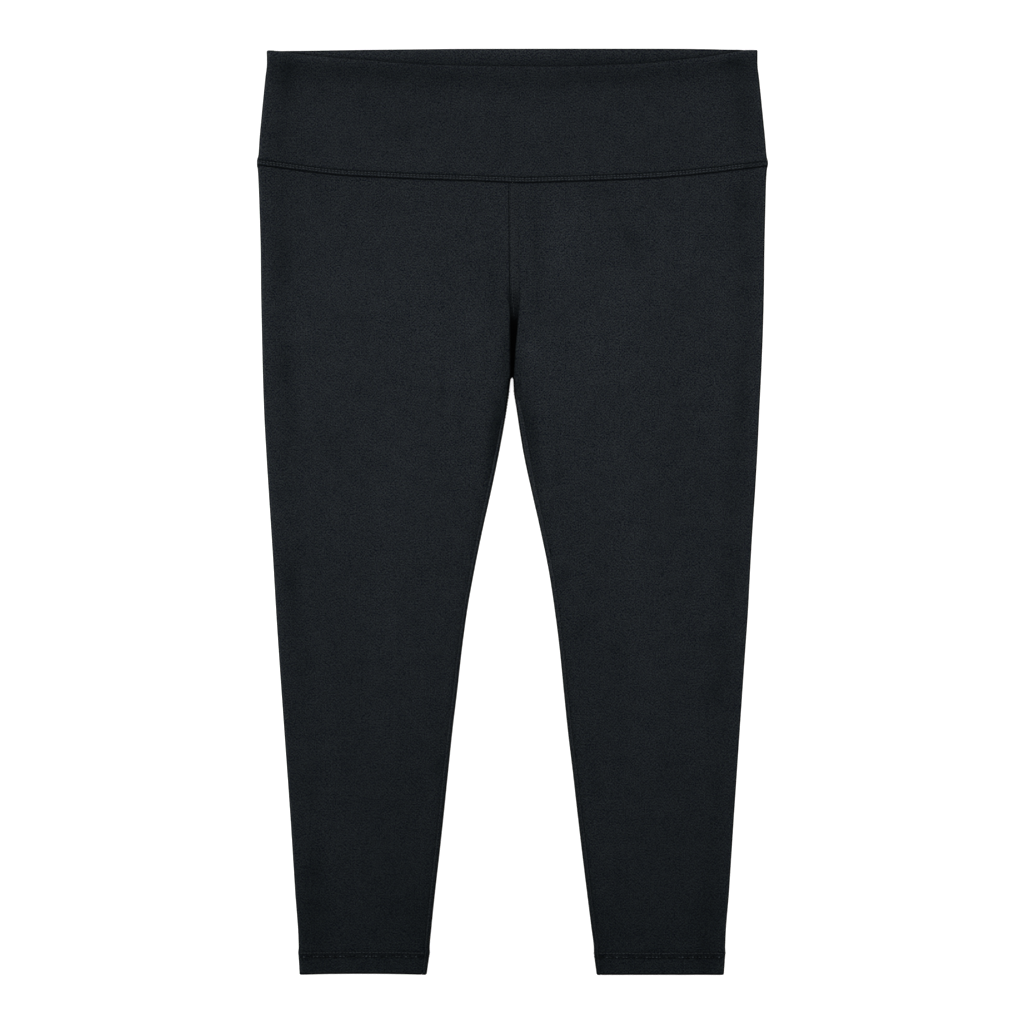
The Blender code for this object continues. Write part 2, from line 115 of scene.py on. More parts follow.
def smooth(keys, values, place):
    """Read a curve that runs through every row of a column and never overshoots."""
    steps = np.diff(keys)
    slopes = np.diff(values) / steps
    tangents = np.concatenate(([slopes[0]], np.zeros(len(keys) - 2), [slopes[-1]]))
    for row in range(1, len(keys) - 1):
        before, after = slopes[row - 1], slopes[row]
        if before * after > 0:
            tangents[row] = 2 * before * after / (before + after)
    place = np.clip(place, keys[0], keys[-1])
    row = np.clip(np.searchsorted(keys, place, side="right") - 1, 0, len(steps) - 1)
    t = (place - keys[row]) / steps[row]
    return (
        values[row] * (1 + 2 * t) * (1 - t) ** 2
        + values[row + 1] * t * t * (3 - 2 * t)
        + tangents[row] * steps[row] * t * (1 - t) ** 2
        - tangents[row + 1] * steps[row] * t * t * (1 - t)
    )


def read_table(text):
    """Names and rows of numbers of a table; a line that starts with # is a comment."""
    lines = [line.split() for line in text.strip().splitlines() if line[0] != "#"]
    return lines[0], np.array(lines[1:], dtype=float)


class Stations:
    """A short table: named columns, the first of them the place along the garment."""

    def __init__(self, text):
        names, rows = read_table(text)
        self.columns = dict(zip(names, rows.T))
        self.keys = rows[:, 0]

    def at(self, name, place):
        return smooth(self.keys, self.columns[name], place)


# ---- outline, seen from above ----
BAND_OUTLINE = Stations("""
 down  right   left
  2.5 245.75 244.95
    8 245.63 244.85
 14.5 245.53 244.85
 30.5  247.2  246.5
 50.5  249.2  248.6
 70.5  251.1  250.6
 90.5  252.9  252.6
  106  253.9  253.9
109.5  254.6  254.5
  112  255.4  255.3
  114  255.5  255.4
117.1  255.3  254.9
""")
TOP_EDGE = Stations("""
     x front trough  back
  -246 -1.83    0.1   0.6
  -240  -1.7    0.1  0.75
-236.5 -1.23    0.1  0.78
  -229    -1    0.1  0.74
-224.5 -0.32   0.12  0.66
-219.5  0.85   0.14   0.6
-213.5  1.85   0.18  0.57
  -193  4.15    0.3  0.28
  -159   6.9   0.55 -0.27
   -90  12.1    0.6 -1.02
   -40  13.6    0.3 -1.47
     0  14.1   0.15 -1.52
    50  14.3    0.4 -1.57
    90    13    0.6 -1.57
   130  11.2    0.6 -1.57
   166   7.6   0.35 -1.47
   201  3.45   0.15 -1.04
   210  1.75   0.14 -0.74
   216  0.85   0.13 -0.68
   221 -0.05   0.12 -0.62
   226 -1.13   0.11  -0.6
   233 -2.16    0.1 -0.18
   246  -2.2    0.1 -0.06
""")
# How far the front waist seam lies above an even bow.
WAIST_LINE = Stations("""
   x lift
-250    2
-229  1.7
-214 1.35
-199  0.8
-177 0.35
-154 0.75
-124  1.3
 -79 1.65
 -49 1.75
 -19    1
  11 0.15
  56  0.6
 101  0.3
 146 -0.2
 176    0
 206  0.3
 221  0.6
 250  0.9
""")
LEG_OUTER = Stations("""
 down right  left
117.1 254.7 254.5
  122 254.3 253.9
130.5 253.8 253.4
160.5 252.7 252.6
200.5 251.6 251.7
240.5 251.2 251.2
280.5 250.4 250.2
320.5 249.5 248.6
360.5 248.2 246.6
400.5 246.1 244.7
440.5 243.6 242.4
480.5   241 239.7
520.5 238.5 237.4
560.5 236.2 235.3
600.5 233.6 232.5
680.5   228   227
760.5 222.3 221.6
840.5 217.2 216.4
896.5 213.7 212.6
902.5 214.3   213
  908 213.9 212.6
  925 212.9 211.4
""")
LEG_INNER = Stations("""
 down right left
327.5     2    1
340.5   3.5  1.6
360.5   6.4  4.5
380.5   9.6  7.5
400.5  13.3 10.8
420.5  17.3 14.8
440.5  21.5 19.3
480.5  30.4 28.3
520.5  38.5 36.5
560.5  45.6 42.6
600.5    51 47.6
640.5  55.5 51.5
680.5  60.3 55.6
720.5  64.5 60.4
760.5  68.6 64.9
800.5  72.9 69.6
840.5  77.5 74.5
880.5  81.6 79.5
896.5  82.9 81.4
902.5  82.6 81.3
  908  83.4 81.9
  925  85.8 84.1
""")

# ---- heights of the garment as it lies ----
# "outer" at the outer fold, "middle" in the middle of a leg, "inner" beside the centre
# front or the inner fold, and "roll", how far the cloth has dropped at the fold itself.
LEG_LIE = Stations("""
 down outer middle inner roll
117.1   5.3    4.9   4.9    0
  135   4.9    4.2   4.4    0
  165   4.6    3.9   4.2    0
  240   4.5    3.8   4.5  0.2
  272   4.5    3.9   5.6  0.4
  295   4.5      4   6.6  0.3
329.5   4.6    4.1     7  0.3
  370   4.6    4.1   6.2  0.4
  420   4.5    3.9   5.3  0.3
  500   4.5    3.8   4.8  0.2
  700   4.4    3.7   4.5  0.1
  890   4.5    3.9   4.5    0
  904   5.6    5.3   5.6    0
  925   5.6    5.3   5.6    0
""")
BAND_LIE = Stations("""
 down side middle
    0  5.8    5.8
    9  5.8    5.8
   24  5.8    5.4
   45  5.8    5.6
   95  5.8    5.6
117.1  5.8    5.5
""")

# The crotch slot: walls of the two legs, the centre front seam on its floor, and how
# far that floor lies below the cloth beside it. The column dark is the shade painted in
# the slot, and right_shade and left_shade are the shade painted on the cloth beside it.
SLOT = Stations("""
 down right left seam drop dark right_shade left_shade
117.1   4.6  7.2 -3.7    0    0           0          0
  165   4.5  7.1 -3.5    0    0           0          0
  215   4.3  6.9   -3    0    0           0          0
  236   3.9  6.9 -2.6    0 0.15        0.07          0
  245   3.5  6.9 -2.3    0 0.47        0.13          0
  256   2.6  6.5 -1.6  0.6 0.65        0.14       0.03
  264   1.8  5.8 -0.8  1.4 0.78        0.16       0.05
  272   1.9  5.3 -0.4  2.4 0.96         0.2       0.05
  284     2  4.3 -0.4  3.5    1        0.27       0.04
  300   1.9  2.7 -0.4    4    1         0.4        0.2
  315   1.7  1.9 -0.4  4.1    1        0.44       0.33
327.5   1.8    1 -0.4  4.1    1         0.4        0.3
""")

# Where the inseam runs: along the cloth from the crown of the inner fold, outward on
# the front where it is above zero, and down the fold towards the back below zero.
INSEAM = Stations("""
 down right left
329.5    -5   -5
  336  -4.4 -2.8
  345  -3.4 -0.4
  360  -1.2  2.2
  375   0.3    3
  400   1.1  3.2
  440   1.8  2.7
  490   1.9  2.4
  530   1.7  2.1
  620     2  1.8
  700   2.4    2
  775   2.8  2.4
  850   2.7  2.1
  925   2.3  1.6
""")

# Soft rises and hollows of the front as it lies: where, half width and half length, how
# the length leans from the Y axis in degrees, and height. Those of the solids come first.
# Their heights also paint shade into the colour, darker in the hollows and lighter on the
# rises.
_, FRONT_FOLDS = read_table("""
   x down wide long  lean height
  27  215    9   75     2  -0.25
-170  330   26  120     3   -0.1
 168  350   24  130    -4   -0.1
-110  250   40   70   -12   0.25
 105  270   38   75    14   0.25
-205  185   24   34    40   -0.2
-125  520   24  140     6    0.3
 128  560   24  130    -6    0.3
-165  700   20  110     6   -0.2
 160  720   20  100    -6   -0.2
# waistband
-222   17   18    8     0  -0.35
-227   32    9   15     0  -0.65
 219 12.5   15    6     0   -0.7
-197   72   18   14     0    0.2
-105   82   10    7   -15   -0.3
 188   60   30   16     0    0.2
 -42   55   25   14     0   0.15
# beside the outer fold of the right leg, then of the left leg
-230  210    9   26     0   -0.4
-227  315    9   20     0  -0.35
-220  370    9   18     0   -0.3
-222  531    9   20     0  -0.45
-207  616   10   16     0  -0.25
-197  820    9   11     0  -0.35
 227  155    9   20     0   -0.3
 230  350    9   24     0  -0.35
 220  455    9   16     0  -0.25
 200  641   11   12     0   -0.4
 197  590   14   14     0  -0.25
 193  861   14   18     0  -0.35
# beside the centre front and the crotch
22.5  190    5   48     0   -0.3
 -20  230    5   30     0  -0.25
 -42  270   14   16     0    0.2
 -57  325   14   20     0   0.18
 -70  318  3.5   42     0  -0.22
 -72  342    7    8     0  -0.25
  20  300    8   13     0   0.45
 -17  378    7   50   9.6  -0.95
 -37  480    7   14    12   -0.3
  19  378    6   42  -9.6   -0.7
44.5  395    3   42     0   -0.2
  48  425    6   10     0   -0.2
  52  525    7   10     0  -0.25
# right leg
-178  395   12   13     0   -0.3
-120  405  3.5   42   -59   0.18
-180  485  3.5   16   -51    0.2
-172  230   24   24     0   0.15
-197  175   18   18     0   0.15
-157  150   14    8     0  -0.15
-112  270   10    9     0  -0.18
-108  480    9   10     0  -0.15
-152  525   10   10     0  -0.15
 -72  520    9    9     0  -0.18
 -75  718    5   12     3  -0.45
-165  780   18   20     0   0.15
 -97  866   14   18     0  -0.25
# left leg
 110  175    7   42 -26.6   -0.2
 122  193   11   14   -20  -0.28
  48  185   24   32     0   0.22
 172  200   18   30     0    0.2
  88  140   14    8     0  -0.18
  90  345    6    6     0  -0.22
  75  575    4   22    47  -0.22
 120  563    4   26    85  -0.16
 104  597    9    9     0  -0.28
  67  581    8    9     0  -0.25
  85  735    8    9     0  -0.32
 152  755   18   16     0   0.15
 128  785   12    9     0  -0.15
  93  870   14   16     0  -0.22
""")

# Painted shade: the colour is darker towards the hems, as the light falls off there.
TONE_DOWN = (0.0, 50.0, 120.0, 300.0, 450.0, 650.0, 810.0, 925.0)
TONE = (0.95, 0.97, 1.015, 1.04, 0.935, 0.785, 0.68, 0.53)

# Light and shade painted on the front in patches, in place of the shading of height: parts of
# its tone.
_, FRONT_PAINTED_LIGHT = read_table("""
   x down wide long lean   tone
-112  270   34   95   -4 -0.055
-126  530   30   85    4 -0.075
-108  760   40   90    0  -0.06
 -95  860   26   45    0  -0.09
-200  865   26   40    0  -0.08
-174  745   24   60    4  0.085
-172  345   22  130    0  0.045
 -52  170   32   32    0  0.045
-202  202   26   20    0   0.06
-213  105   22   50    0   -0.1
-142  131   45    9    0  -0.07
  30  215   27   65    0   0.09
  62  182   60   42    0  0.045
  40  350   26   55    0  0.065
  76  412   42   32    0   0.05
 118  290   26   42    0 -0.055
 122  540   20   65    0  -0.06
 205  590   26   75   -4   0.07
 158  680   46   42    0   0.06
 192  850   17   50   -4  0.095
  40   62   62   28    0  0.045
-225   22   14   16    0   0.06
-212  480   20   55    4  -0.05
-132  800   26  110    3 -0.035
-205  850   16   50    3  -0.04
 227  378   18   28    0   0.06
  68  760   18   32    0   0.07
""")

# Painted shade of hollows on the back, which lies pressed flat with no relief: the same
# columns.
_, BACK_PAINTED_HOLLOWS = read_table("""
   x down wide long lean height
-150  300   12   90    8  -0.25
 140  330   12   80   -6  -0.25
 -30  300    7   45    6  -0.35
  32  295    7   45   -6  -0.35
-120  560    5   30   70   -0.2
 118  575    5   28  -72   -0.2
-190  620   10   60    4  -0.25
 185  640   10   55   -4  -0.25
-110  800   12   40    5   -0.2
 125  760   12   44   -5   -0.2
  60   60   30   12    0   -0.2
 -80   50   26   12    0   -0.2
""")
FOLDS_KEEP_OFF = 14.0     # the folds of the front leave the outer and inner edges alone

# ---- how finely the shells follow these curves ----
NEAR_EDGE = (
    0, 0.2, 0.4, 0.65, 0.95, 1.3, 1.7, 2.1, 2.5, 2.9, 3.3, 3.7, 4.05, 4.4, 4.8, 5.3, 5.8, 6.3,
    6.8, 7.3, 7.8, 8.25, 8.65, 9.05, 9.45, 9.9, 10.8, 12.2, 14,
)                         # along the cloth from a seam
FRONT_COLUMNS = 80
BACK_COLUMNS = 20
FOLD_COLUMNS = 11
BESIDE_FOLD = 1.2
FACING_OUT = 0.3          # share of the outward direction that marks the outer bend
BAND_COLUMNS = 200
BAND_BEND = 4.4           # cloth in the quarter bend at each side of the band
BEND_COLUMNS = 9
ARC_POINTS = 19
TOP_POINTS = 300
UNROLL_FROM = 70          # column of a shell from which its knit is laid out
SHARP_FROM = 70.0         # degrees between faces that are not shaded as one
CLOSER_AT_START = 1.6
SAME_POINT = 1e-6


def rows_between(*stretches):
    """Row places from stretches of (start, end, about how far apart)."""
    rows = [np.linspace(a, b, max(2, round((b - a) / step) + 1)) for a, b, step in stretches]
    return np.unique(np.concatenate(rows).round(4))


LEG_ROWS = rows_between(
    (117.25, 119.25, 0.25), (119.25, 123.0, 0.75), (123.0, 131.0, 2.0), (131.0, 243.0, 4.0),
    (243.0, 327.5, 2.2), (329.5, 331.5, 0.6), (331.5, 375.0, 2.0), (375.0, 400.0, 3.1),
    (400.0, 897.0, 4.3), (897.0, 901.0, 0.8), (901.0, 910.6, 0.45), (910.6, 922.6, 2.4),
    (922.6, 924.6, 0.4), (924.6, 925.0, 0.1),
)
BAND_ROWS = rows_between(
    (0.0, 0.9, 0.15), (0.9, 4.2, 0.55), (4.2, 22.2, 1.5), (22.2, 102.2, 4.0),
    (102.2, 106.2, 1.0), (106.2, 114.45, 0.25),
)


def bell(distance, width):
    """A soft rise: 1 at no distance, level there, and gone at about two widths."""
    return np.exp(-((distance / width) ** 2))


def ramp(place, start, end):
    """0 before start, 1 after end, and smooth between; start may be the larger."""
    t = np.clip((place - start) / (end - start), 0, 1)
    return t * t * (3 - 2 * t)


def strip(distance, width):
    """Profile of an allowance that starts at a seam and is this wide."""
    rising = ramp(distance, 0, ALLOWANCE_STEP)
    return rising * (1 - ramp(distance, width - ALLOWANCE_STEP / 2, width + ALLOWANCE_STEP / 2))


def uneven(x, y, size, seed):
    """Soft random field, about -1 to 1, whose hills lie about this far apart."""
    cells = 64
    lattice = np.random.default_rng(seed).uniform(-1, 1, (cells, cells))
    u, v = np.broadcast_arrays(np.asarray(x) / size + 31.3, np.asarray(y) / size + 7.7)
    i, j = np.floor(u).astype(int), np.floor(v).astype(int)
    s, t = ramp(u - i, 0, 1), ramp(v - j, 0, 1)
    corner = [lattice[(i + a) % cells, (j + b) % cells] for a in (0, 1) for b in (0, 1)]
    return (
        (corner[0] * (1 - t) + corner[1] * t) * (1 - s)
        + (corner[2] * (1 - t) + corner[3] * t) * s
    )


def folds(table, x, down):
    """Height that the soft folds of a table add at a place."""
    total = 0.0
    for at_x, at_down, wide, long, lean, height in table:
        lean = np.radians(lean)
        off_x, off_y = x - at_x, at_down - down
        along = off_y * np.cos(lean) + off_x * np.sin(lean)
        beside = off_x * np.cos(lean) - off_y * np.sin(lean)
        total = total + height * bell(beside, wide) * bell(along, long)
    return total


def lie(x, down):
    """Height of the front over its even lie: the folds, and the slack of soft cloth."""
    slack = sum(height * uneven(x, down, size, seed) for height, size, seed in SLACK)
    return folds(FRONT_FOLDS, x, down) + slack


def edge_hollow(from_outer, side_sign, down):
    """Hollow along an outer fold, deeper in some places than in others."""
    depth = 0.24 + 0.16 * uneven(side_sign * 50, down, 33, 5)
    return -depth * bell(from_outer - EDGE_BAND, 11) + 0.10 * bell(from_outer - 2, 5)


def tone_and_painted_shade(x, down, outer, is_front):
    """Random tone with painted light and shade: 1 on even cloth, painted darker in hollows,
    beside the outer folds and towards the hems.
    """
    from_outer = outer - np.abs(x)
    table = FRONT_FOLDS if is_front else BACK_PAINTED_HOLLOWS
    seeds = (11, 12) if is_front else (21, 22)
    # painted shade in hollows and painted light on rises and at the rim of each outer fold, by
    # height
    height = folds(table, x, down) + edge_hollow(from_outer, np.sign(x), down)
    patches = 0.03 * uneven(x, down, 30, seeds[0]) + 0.03 * uneven(x, down, 12, seeds[1])
    if is_front:
        # patches of painted light and shade
        patches = patches + folds(FRONT_PAINTED_LIGHT, x, down)
    # painted shade: the light falls off towards the hems
    painted_falloff = np.interp(down, TONE_DOWN, TONE)
    return painted_falloff * (1 + PAINTED_SHADE_PER_MM * height + patches)


def fold_light_and_shade(outward_x, from_fold, is_inner=False, light=FOLD_HIGHLIGHT):
    """Painted light and shade round a fold: a dark line along the outmost line, a highlight
    just inside, and folds facing -x lighter than those facing +x.
    """
    facing = np.abs(outward_x)
    shaded = outward_x > 0
    start = np.where(shaded, np.where(is_inner, 0.15, 0.28), np.where(is_inner, 0.36, 0.60))
    # painted shade along the outmost line of the fold
    edge_shade = 0.90 * ramp(facing, start, start + 0.45 - 0.15 * (1 - shaded))
    # painted light: folds facing -x lighter and those facing +x darker, as if lit from the -x
    # side
    turned = -0.13 * np.sign(outward_x) * ramp(facing, 0.0, 0.6)
    return (1 - edge_shade) * (1 + turned + light * bell(from_fold - 2.2, 1.0))


# ---- runs of cloth in one level ----
def arc(across, height, radius, start, end):
    """Points and outward directions round a bend, angles in degrees from +across."""
    angles = np.radians(np.linspace(start, end, ARC_POINTS))
    outward = np.stack([np.cos(angles), np.sin(angles)], axis=1)
    return np.array([across, height]) + radius * outward, outward


def straight(start, end, outward):
    """Points and outward directions along a straight stretch."""
    return np.array([start, end], dtype=float), np.array([outward, outward], dtype=float)


def upper_face(across, height):
    """Points and outward directions of cloth that faces up."""
    slope = np.gradient(height, across)
    outward = np.stack([-slope, np.ones_like(slope)], axis=1)
    outward /= np.linalg.norm(outward, axis=1, keepdims=True)
    return np.stack([across, height], axis=1), outward


def join(*stretches):
    """One run of points, outward directions and distances along the cloth."""
    points = np.concatenate([stretch[0] for stretch in stretches])
    outward = np.concatenate([stretch[1] for stretch in stretches])
    gaps = np.linalg.norm(np.diff(points, axis=0), axis=1)
    apart = gaps > SAME_POINT
    keep = np.concatenate(([True], apart))
    return points[keep], outward[keep], np.concatenate(([0.0], np.cumsum(gaps[apart])))


def read(run, places):
    """Points and outward directions at distances along a run."""
    points, outward, lengths = run
    found = np.stack([np.interp(places, lengths, points[:, k]) for k in (0, 1)], axis=1)
    facing = np.stack([np.interp(places, lengths, outward[:, k]) for k in (0, 1)], axis=1)
    return found, facing / np.linalg.norm(facing, axis=1, keepdims=True)


def cut_open(closed, seam):
    """Start a closed run just past a seam in it and end it just short of the seam."""
    around = closed[2][-1]
    last = around - SEAM_GAP
    places = (closed[2] - seam) % around
    places = np.unique(np.concatenate([[0.0], places[places < last], [last]]))
    points, outward = read(closed, (seam + places) % around)
    return points, outward, places


# ---- one level of a leg ----
def leg_top(sign, down, start, end, crown):
    """The upper face of a leg between its inner and outer bends."""
    across = start + (end - start) * np.linspace(0, 1, TOP_POINTS) ** CLOSER_AT_START
    inner, middle, outer = (LEG_LIE.at(name, down) for name in ("inner", "middle", "outer"))
    from_inner, from_outer = across - start, end - across
    loose = lie(sign * across, down) + edge_hollow(from_outer, sign, down)
    height = (
        middle
        + (outer - middle) * bell(from_outer, OUTER_RISE_WIDTH)
        + (inner - middle) * bell(from_inner, INNER_RISE_WIDTH)
        - (inner - crown) * bell(from_inner, ROLL_WIDTH)
        + loose
        * (1 - bell(from_inner, FOLDS_KEEP_OFF))
        * (1 - bell(from_outer, FOLDS_KEEP_OFF))
    )
    return upper_face(across, height)


def leg_section(side, sign, down):
    """Outer face of a leg's cloth at one level, from its front edge to its back edge."""
    outer = LEG_OUTER.at(side, down)
    outer_radius = LEG_LIE.at("outer", down) / 2
    crown = LEG_LIE.at("inner", down) - LEG_LIE.at("roll", down)
    fold_start = outer - outer_radius
    outer_fold = arc(fold_start, outer_radius, outer_radius, 90, -90)
    if down <= CROTCH:
        wall, drop = SLOT.at(side, down), SLOT.at("drop", down)
        steep = np.arccos(max(-1, 1 - drop / (FOOT_RADIUS + FOLD_RADIUS)))
        rest = max(0.0, drop - 2 * (FOOT_RADIUS + FOLD_RADIUS))
        open_share = 1 - OVERLAP * ramp(down, *FRONT_SEAM_CLOSES)
        seam_edge = sign * SLOT.at("seam", down) + open_share * SEAM_GAP / 2
        foot = wall - FOOT_RADIUS * np.sin(steep)
        shoulder = wall + FOLD_RADIUS * np.sin(steep)
        floor = crown - drop + rest
        turn = np.degrees(steep)
        bend_up, inward = arc(foot, floor + FOOT_RADIUS, FOOT_RADIUS, -90, turn - 90)
        bend_over = arc(shoulder, crown - FOLD_RADIUS, FOLD_RADIUS, 90 + turn, 90)
        back_edge = sign * CENTRE_BACK + SEAM_GAP / 2
        return join(
            straight((seam_edge, floor), (foot, floor), (0, 1)),
            (bend_up, -inward),
            bend_over,
            leg_top(sign, down, shoulder, fold_start, crown),
            outer_fold,
            straight((fold_start, 0), (back_edge, 0), (0, -1)),
        )
    inner = LEG_INNER.at(side, down)
    radius = min(FOLD_RADIUS, crown / 2)
    fold_end = inner + radius
    closed = join(
        leg_top(sign, down, fold_end, fold_start, crown),
        outer_fold,
        straight((fold_start, 0), (fold_end, 0), (0, -1)),
        arc(fold_end, radius, radius, 270, 180),
        straight((inner, radius), (inner, crown - radius), (-1, 0)),
        arc(fold_end, crown - radius, radius, 180, 90),
    )
    return cut_open(closed, INSEAM.at(side, down) + SEAM_GAP / 2)


def leg_columns(run):
    """Distances along the cloth at which one level of a leg has its points."""
    points, outward, lengths = run
    fold = np.flatnonzero(outward[:, 0] > FACING_OUT)
    fold_start, fold_end = lengths[fold[0] - 1], lengths[fold[-1] + 1]
    near = np.array(NEAR_EDGE, dtype=float)
    return np.concatenate([
        near,
        np.linspace(near[-1], fold_start - BESIDE_FOLD, FRONT_COLUMNS + 1)[1:],
        np.linspace(fold_start, fold_end, FOLD_COLUMNS),
        np.linspace(fold_end + BESIDE_FOLD, lengths[-1] - near[-1], BACK_COLUMNS + 1)[:-1],
        lengths[-1] - near[::-1],
    ])


# ---- relief of the outer face: seams, rows of stitches and hems ----
FRONT_ROWS = (2.3, 7.9)         # stitch rows beside the centre front seam
INSEAM_ROWS = (1.1, 3.3)        # beside the inseam
WAIST_ROWS = (1.85, 3.9)        # above the waist seam
WAIST_GROOVE = 5.1              # above the waist seam, over both rows
HEM_ROWS = (903.2, 907.0)       # down to the rows at the hems
BACK_SEAM_ROWS = (2.3, 7.9)     # beside the centre back seam, on the right leg
# Shade painted on the cloth at the inner fold and in the slot, for each leg.
NEAR_CROTCH = (356.0, 334.0)    # down from where it starts to where it is full
CROTCH_DIM = {"right": (3.4, 0.42), "left": (6.5, 0.34)}  # from the fold, and how much
RIM = {"right": 0.24, "left": 0.10}                       # painted dark rim of the lower leg's inner fold
SLOT_SHADE = {"right": (0.3, 2.0), "left": (-0.3, 1.5)}   # past the wall: start and end


def pressed(place, rows, depth, width=0.55):
    """Grooves that rows of stitches press into the cloth."""
    return -depth * sum(bell(place - row, width) for row in rows)


def with_painted_lines(painted_light_and_tone, place, *marks):
    """Tone with soft lines of painted shade and light in it: where each runs, its width and its
    change of tone.
    """
    for at, width, change in marks:
        painted_light_and_tone = painted_light_and_tone * (1 + change * bell(place - at, width))
    return painted_light_and_tone


def ditch(distance):
    """The edge of a piece, rolled down into the seam."""
    return -DITCH_DEPTH * bell(distance, DITCH_WIDTH)


def seam_light_and_shade(side, down, from_front, from_back, is_front):
    """Painted light and shade at the seams and hem of a leg: dark lines in ditches, stitch
    grooves, needle holes and the hem's lower edge, light lines along the inseam.
    """
    first, second = HEM_ROWS
    # painted shade in the waist seam's ditch and in the grooves of the hem
    painted_light_and_tone = with_painted_lines(
        1, down, (WAIST_SEAM - 0.1, 0.85, -0.80 * is_front), (first - 1.5, 0.7, -0.20),
        (first, 0.6, -0.12), ((first + second) / 2, 0.8, -0.36), (second, 0.8, -0.52),
        (second + 1.4, 0.7, -0.30),
    )
    # needle holes of the hem painted darker and the loops between lighter; the hem below its
    # rows painted a little lighter
    needle_holes = bell(down - second - 0.4, 1.6) * uneven(from_front, down, 1.7, 9)
    painted_light_and_tone = painted_light_and_tone * (1 + 0.75 * needle_holes) * (1 + 0.08 * ramp(down, second + 2, LENGTH - 4))
    # painted shade along the hem's lower, folded edge
    painted_light_and_tone = painted_light_and_tone * (1 - 0.94 * ramp(down, LENGTH - 2.3, LENGTH - 1.2))
    if down > CROTCH:
        inseam = ramp(down, *INSEAM_ALLOWANCE_RISES)
        line = 0.10 + 0.25 * ramp(down, 470, 400)
        shade = 0.07 + 0.09 * ramp(down, 480, 400)
        # painted highlights along the ridge of the inseam
        light = bell(from_back - 0.9, 0.8) + 0.5 * bell(from_back - INSEAM_ALLOWANCE, 0.7)
        painted_light_and_tone = painted_light_and_tone * (1 + inseam * 0.22 * light)
        return with_painted_lines(painted_light_and_tone, from_front, (0.3, 0.8, -inseam * line), (2.6, 2.8, -shade))
    painted_light_and_tone = with_painted_lines(painted_light_and_tone, from_front, (0.2, 0.7, -0.12))
    if side == "left":
        shown = 1 - ramp(down, *FRONT_ALLOWANCE_SINKS)
        painted_light_and_tone = painted_light_and_tone * (1 + shown * 0.05 * strip(from_front, FRONT_ALLOWANCE))
        painted_light_and_tone = with_painted_lines(painted_light_and_tone, from_front, (FRONT_ALLOWANCE + 0.8, 0.8, -0.10 * shown))
    return painted_light_and_tone


def inner_fold_painted_shade(side, down, from_fold, is_inner, is_front):
    """Painted shade along the inner fold of a leg below the crotch, darkest beside the crotch,
    and a painted lighter band on the left leg.
    """
    near_crotch = ramp(down, *NEAR_CROTCH)
    dim_at, dim = CROTCH_DIM[side]
    painted_light_and_tone = 1 - dim * near_crotch * is_front * bell(from_fold - dim_at, 2.8)
    rim = ramp(down, 640, 800) * RIM[side] + 0.60 * near_crotch
    painted_light_and_tone = painted_light_and_tone * (1 - rim * is_inner * (1 - ramp(from_fold, 1.6, 3.2)))
    if side == "left":
        broad = 0.10 * ramp(down, 660, 540) * ramp(down, 395, 450)
        painted_light_and_tone = painted_light_and_tone * (1 + broad * is_inner * bell(from_fold - 3.0, 3.0))
    return painted_light_and_tone


def slot_painted_shade(side, down, across):
    """Painted shade: the crotch slot painted dark, and shade painted on the cloth beside it."""
    dark, wall = SLOT.at("dark", down), SLOT.at(side, down)
    start, end = SLOT_SHADE[side]
    in_slot = 1 - ramp(across, wall + start, wall + end + 1.3 * (1 - dark))
    beside = bell(across - wall - 1.5, 8.0)
    return (1 - dark * in_slot) * (1 - SLOT.at(side + "_shade", down) * beside)


def hem_relief(down):
    """Three grooves and two welts of a hem that is stitched with twin needles."""
    first, second = HEM_ROWS
    grooves = bell(down - first + 1.6, 0.7) + bell(down - (first + second) / 2, 0.9)
    grooves = grooves + bell(down - second - 1.5, 0.7)
    welts = bell(down - first, 0.9) + bell(down - second, 0.9)
    return 0.10 * welts - 0.26 * grooves


def leg_relief(side, down, from_front, from_back, outward):
    """How far the outer face of a leg stands proud of its even lie."""
    up, under = np.clip(outward[:, 1], 0, 1), np.clip(-outward[:, 1], 0, 1)
    below_crotch = float(down > CROTCH)
    inseam = below_crotch * ramp(down, *INSEAM_ALLOWANCE_RISES)
    raised = ALLOWANCE_HEIGHT * inseam * strip(from_back, INSEAM_ALLOWANCE)
    raised = raised + inseam * pressed(from_back, INSEAM_ROWS, 0.15)
    if side == "left":
        shown = (1 - below_crotch) * (1 - ramp(down, *FRONT_ALLOWANCE_SINKS))
        raised = raised + shown * ALLOWANCE_HEIGHT * strip(from_front, FRONT_ALLOWANCE)
        raised = raised + shown * pressed(from_front, FRONT_ROWS, 0.2)
    sharpness = 1 - 0.75 * below_crotch - 0.55 * ramp(down, 234, 248) * (1 - below_crotch)
    raised = raised + sharpness * ditch(from_front) + 0.25 * below_crotch * ditch(from_back)
    raised = raised + hem_relief(down) - 0.75 * bell(down - WAIST_SEAM, 0.8)
    sunk = pressed(down, HEM_ROWS, 0.35)
    if side == "right":
        sunk = sunk + (1 - below_crotch) * pressed(from_back, BACK_SEAM_ROWS, 0.35)
    return raised * up + sunk * under


def band_relief(below_edge, depth, x, facing):
    """How far the outer face of the band stands proud of its even lie."""
    from_seam = depth - below_edge
    if facing < 0:
        return pressed(from_seam, WAIST_ROWS, 0.35)
    rolled = 0.28 * bell(below_edge - 1.7, 1.5)
    trough = -TOP_EDGE.at("trough", x) * bell(below_edge - 11.0, 6.5)
    allowance = 0.25 * strip(from_seam, WAIST_ALLOWANCE)
    between = -0.30 * bell(from_seam - sum(WAIST_ROWS) / 2, 0.5)
    groove = -WAIST_GROOVE_DEPTH * bell(from_seam - WAIST_GROOVE, 0.6)
    return rolled + trough + allowance + between + groove + 1.5 * ditch(from_seam)


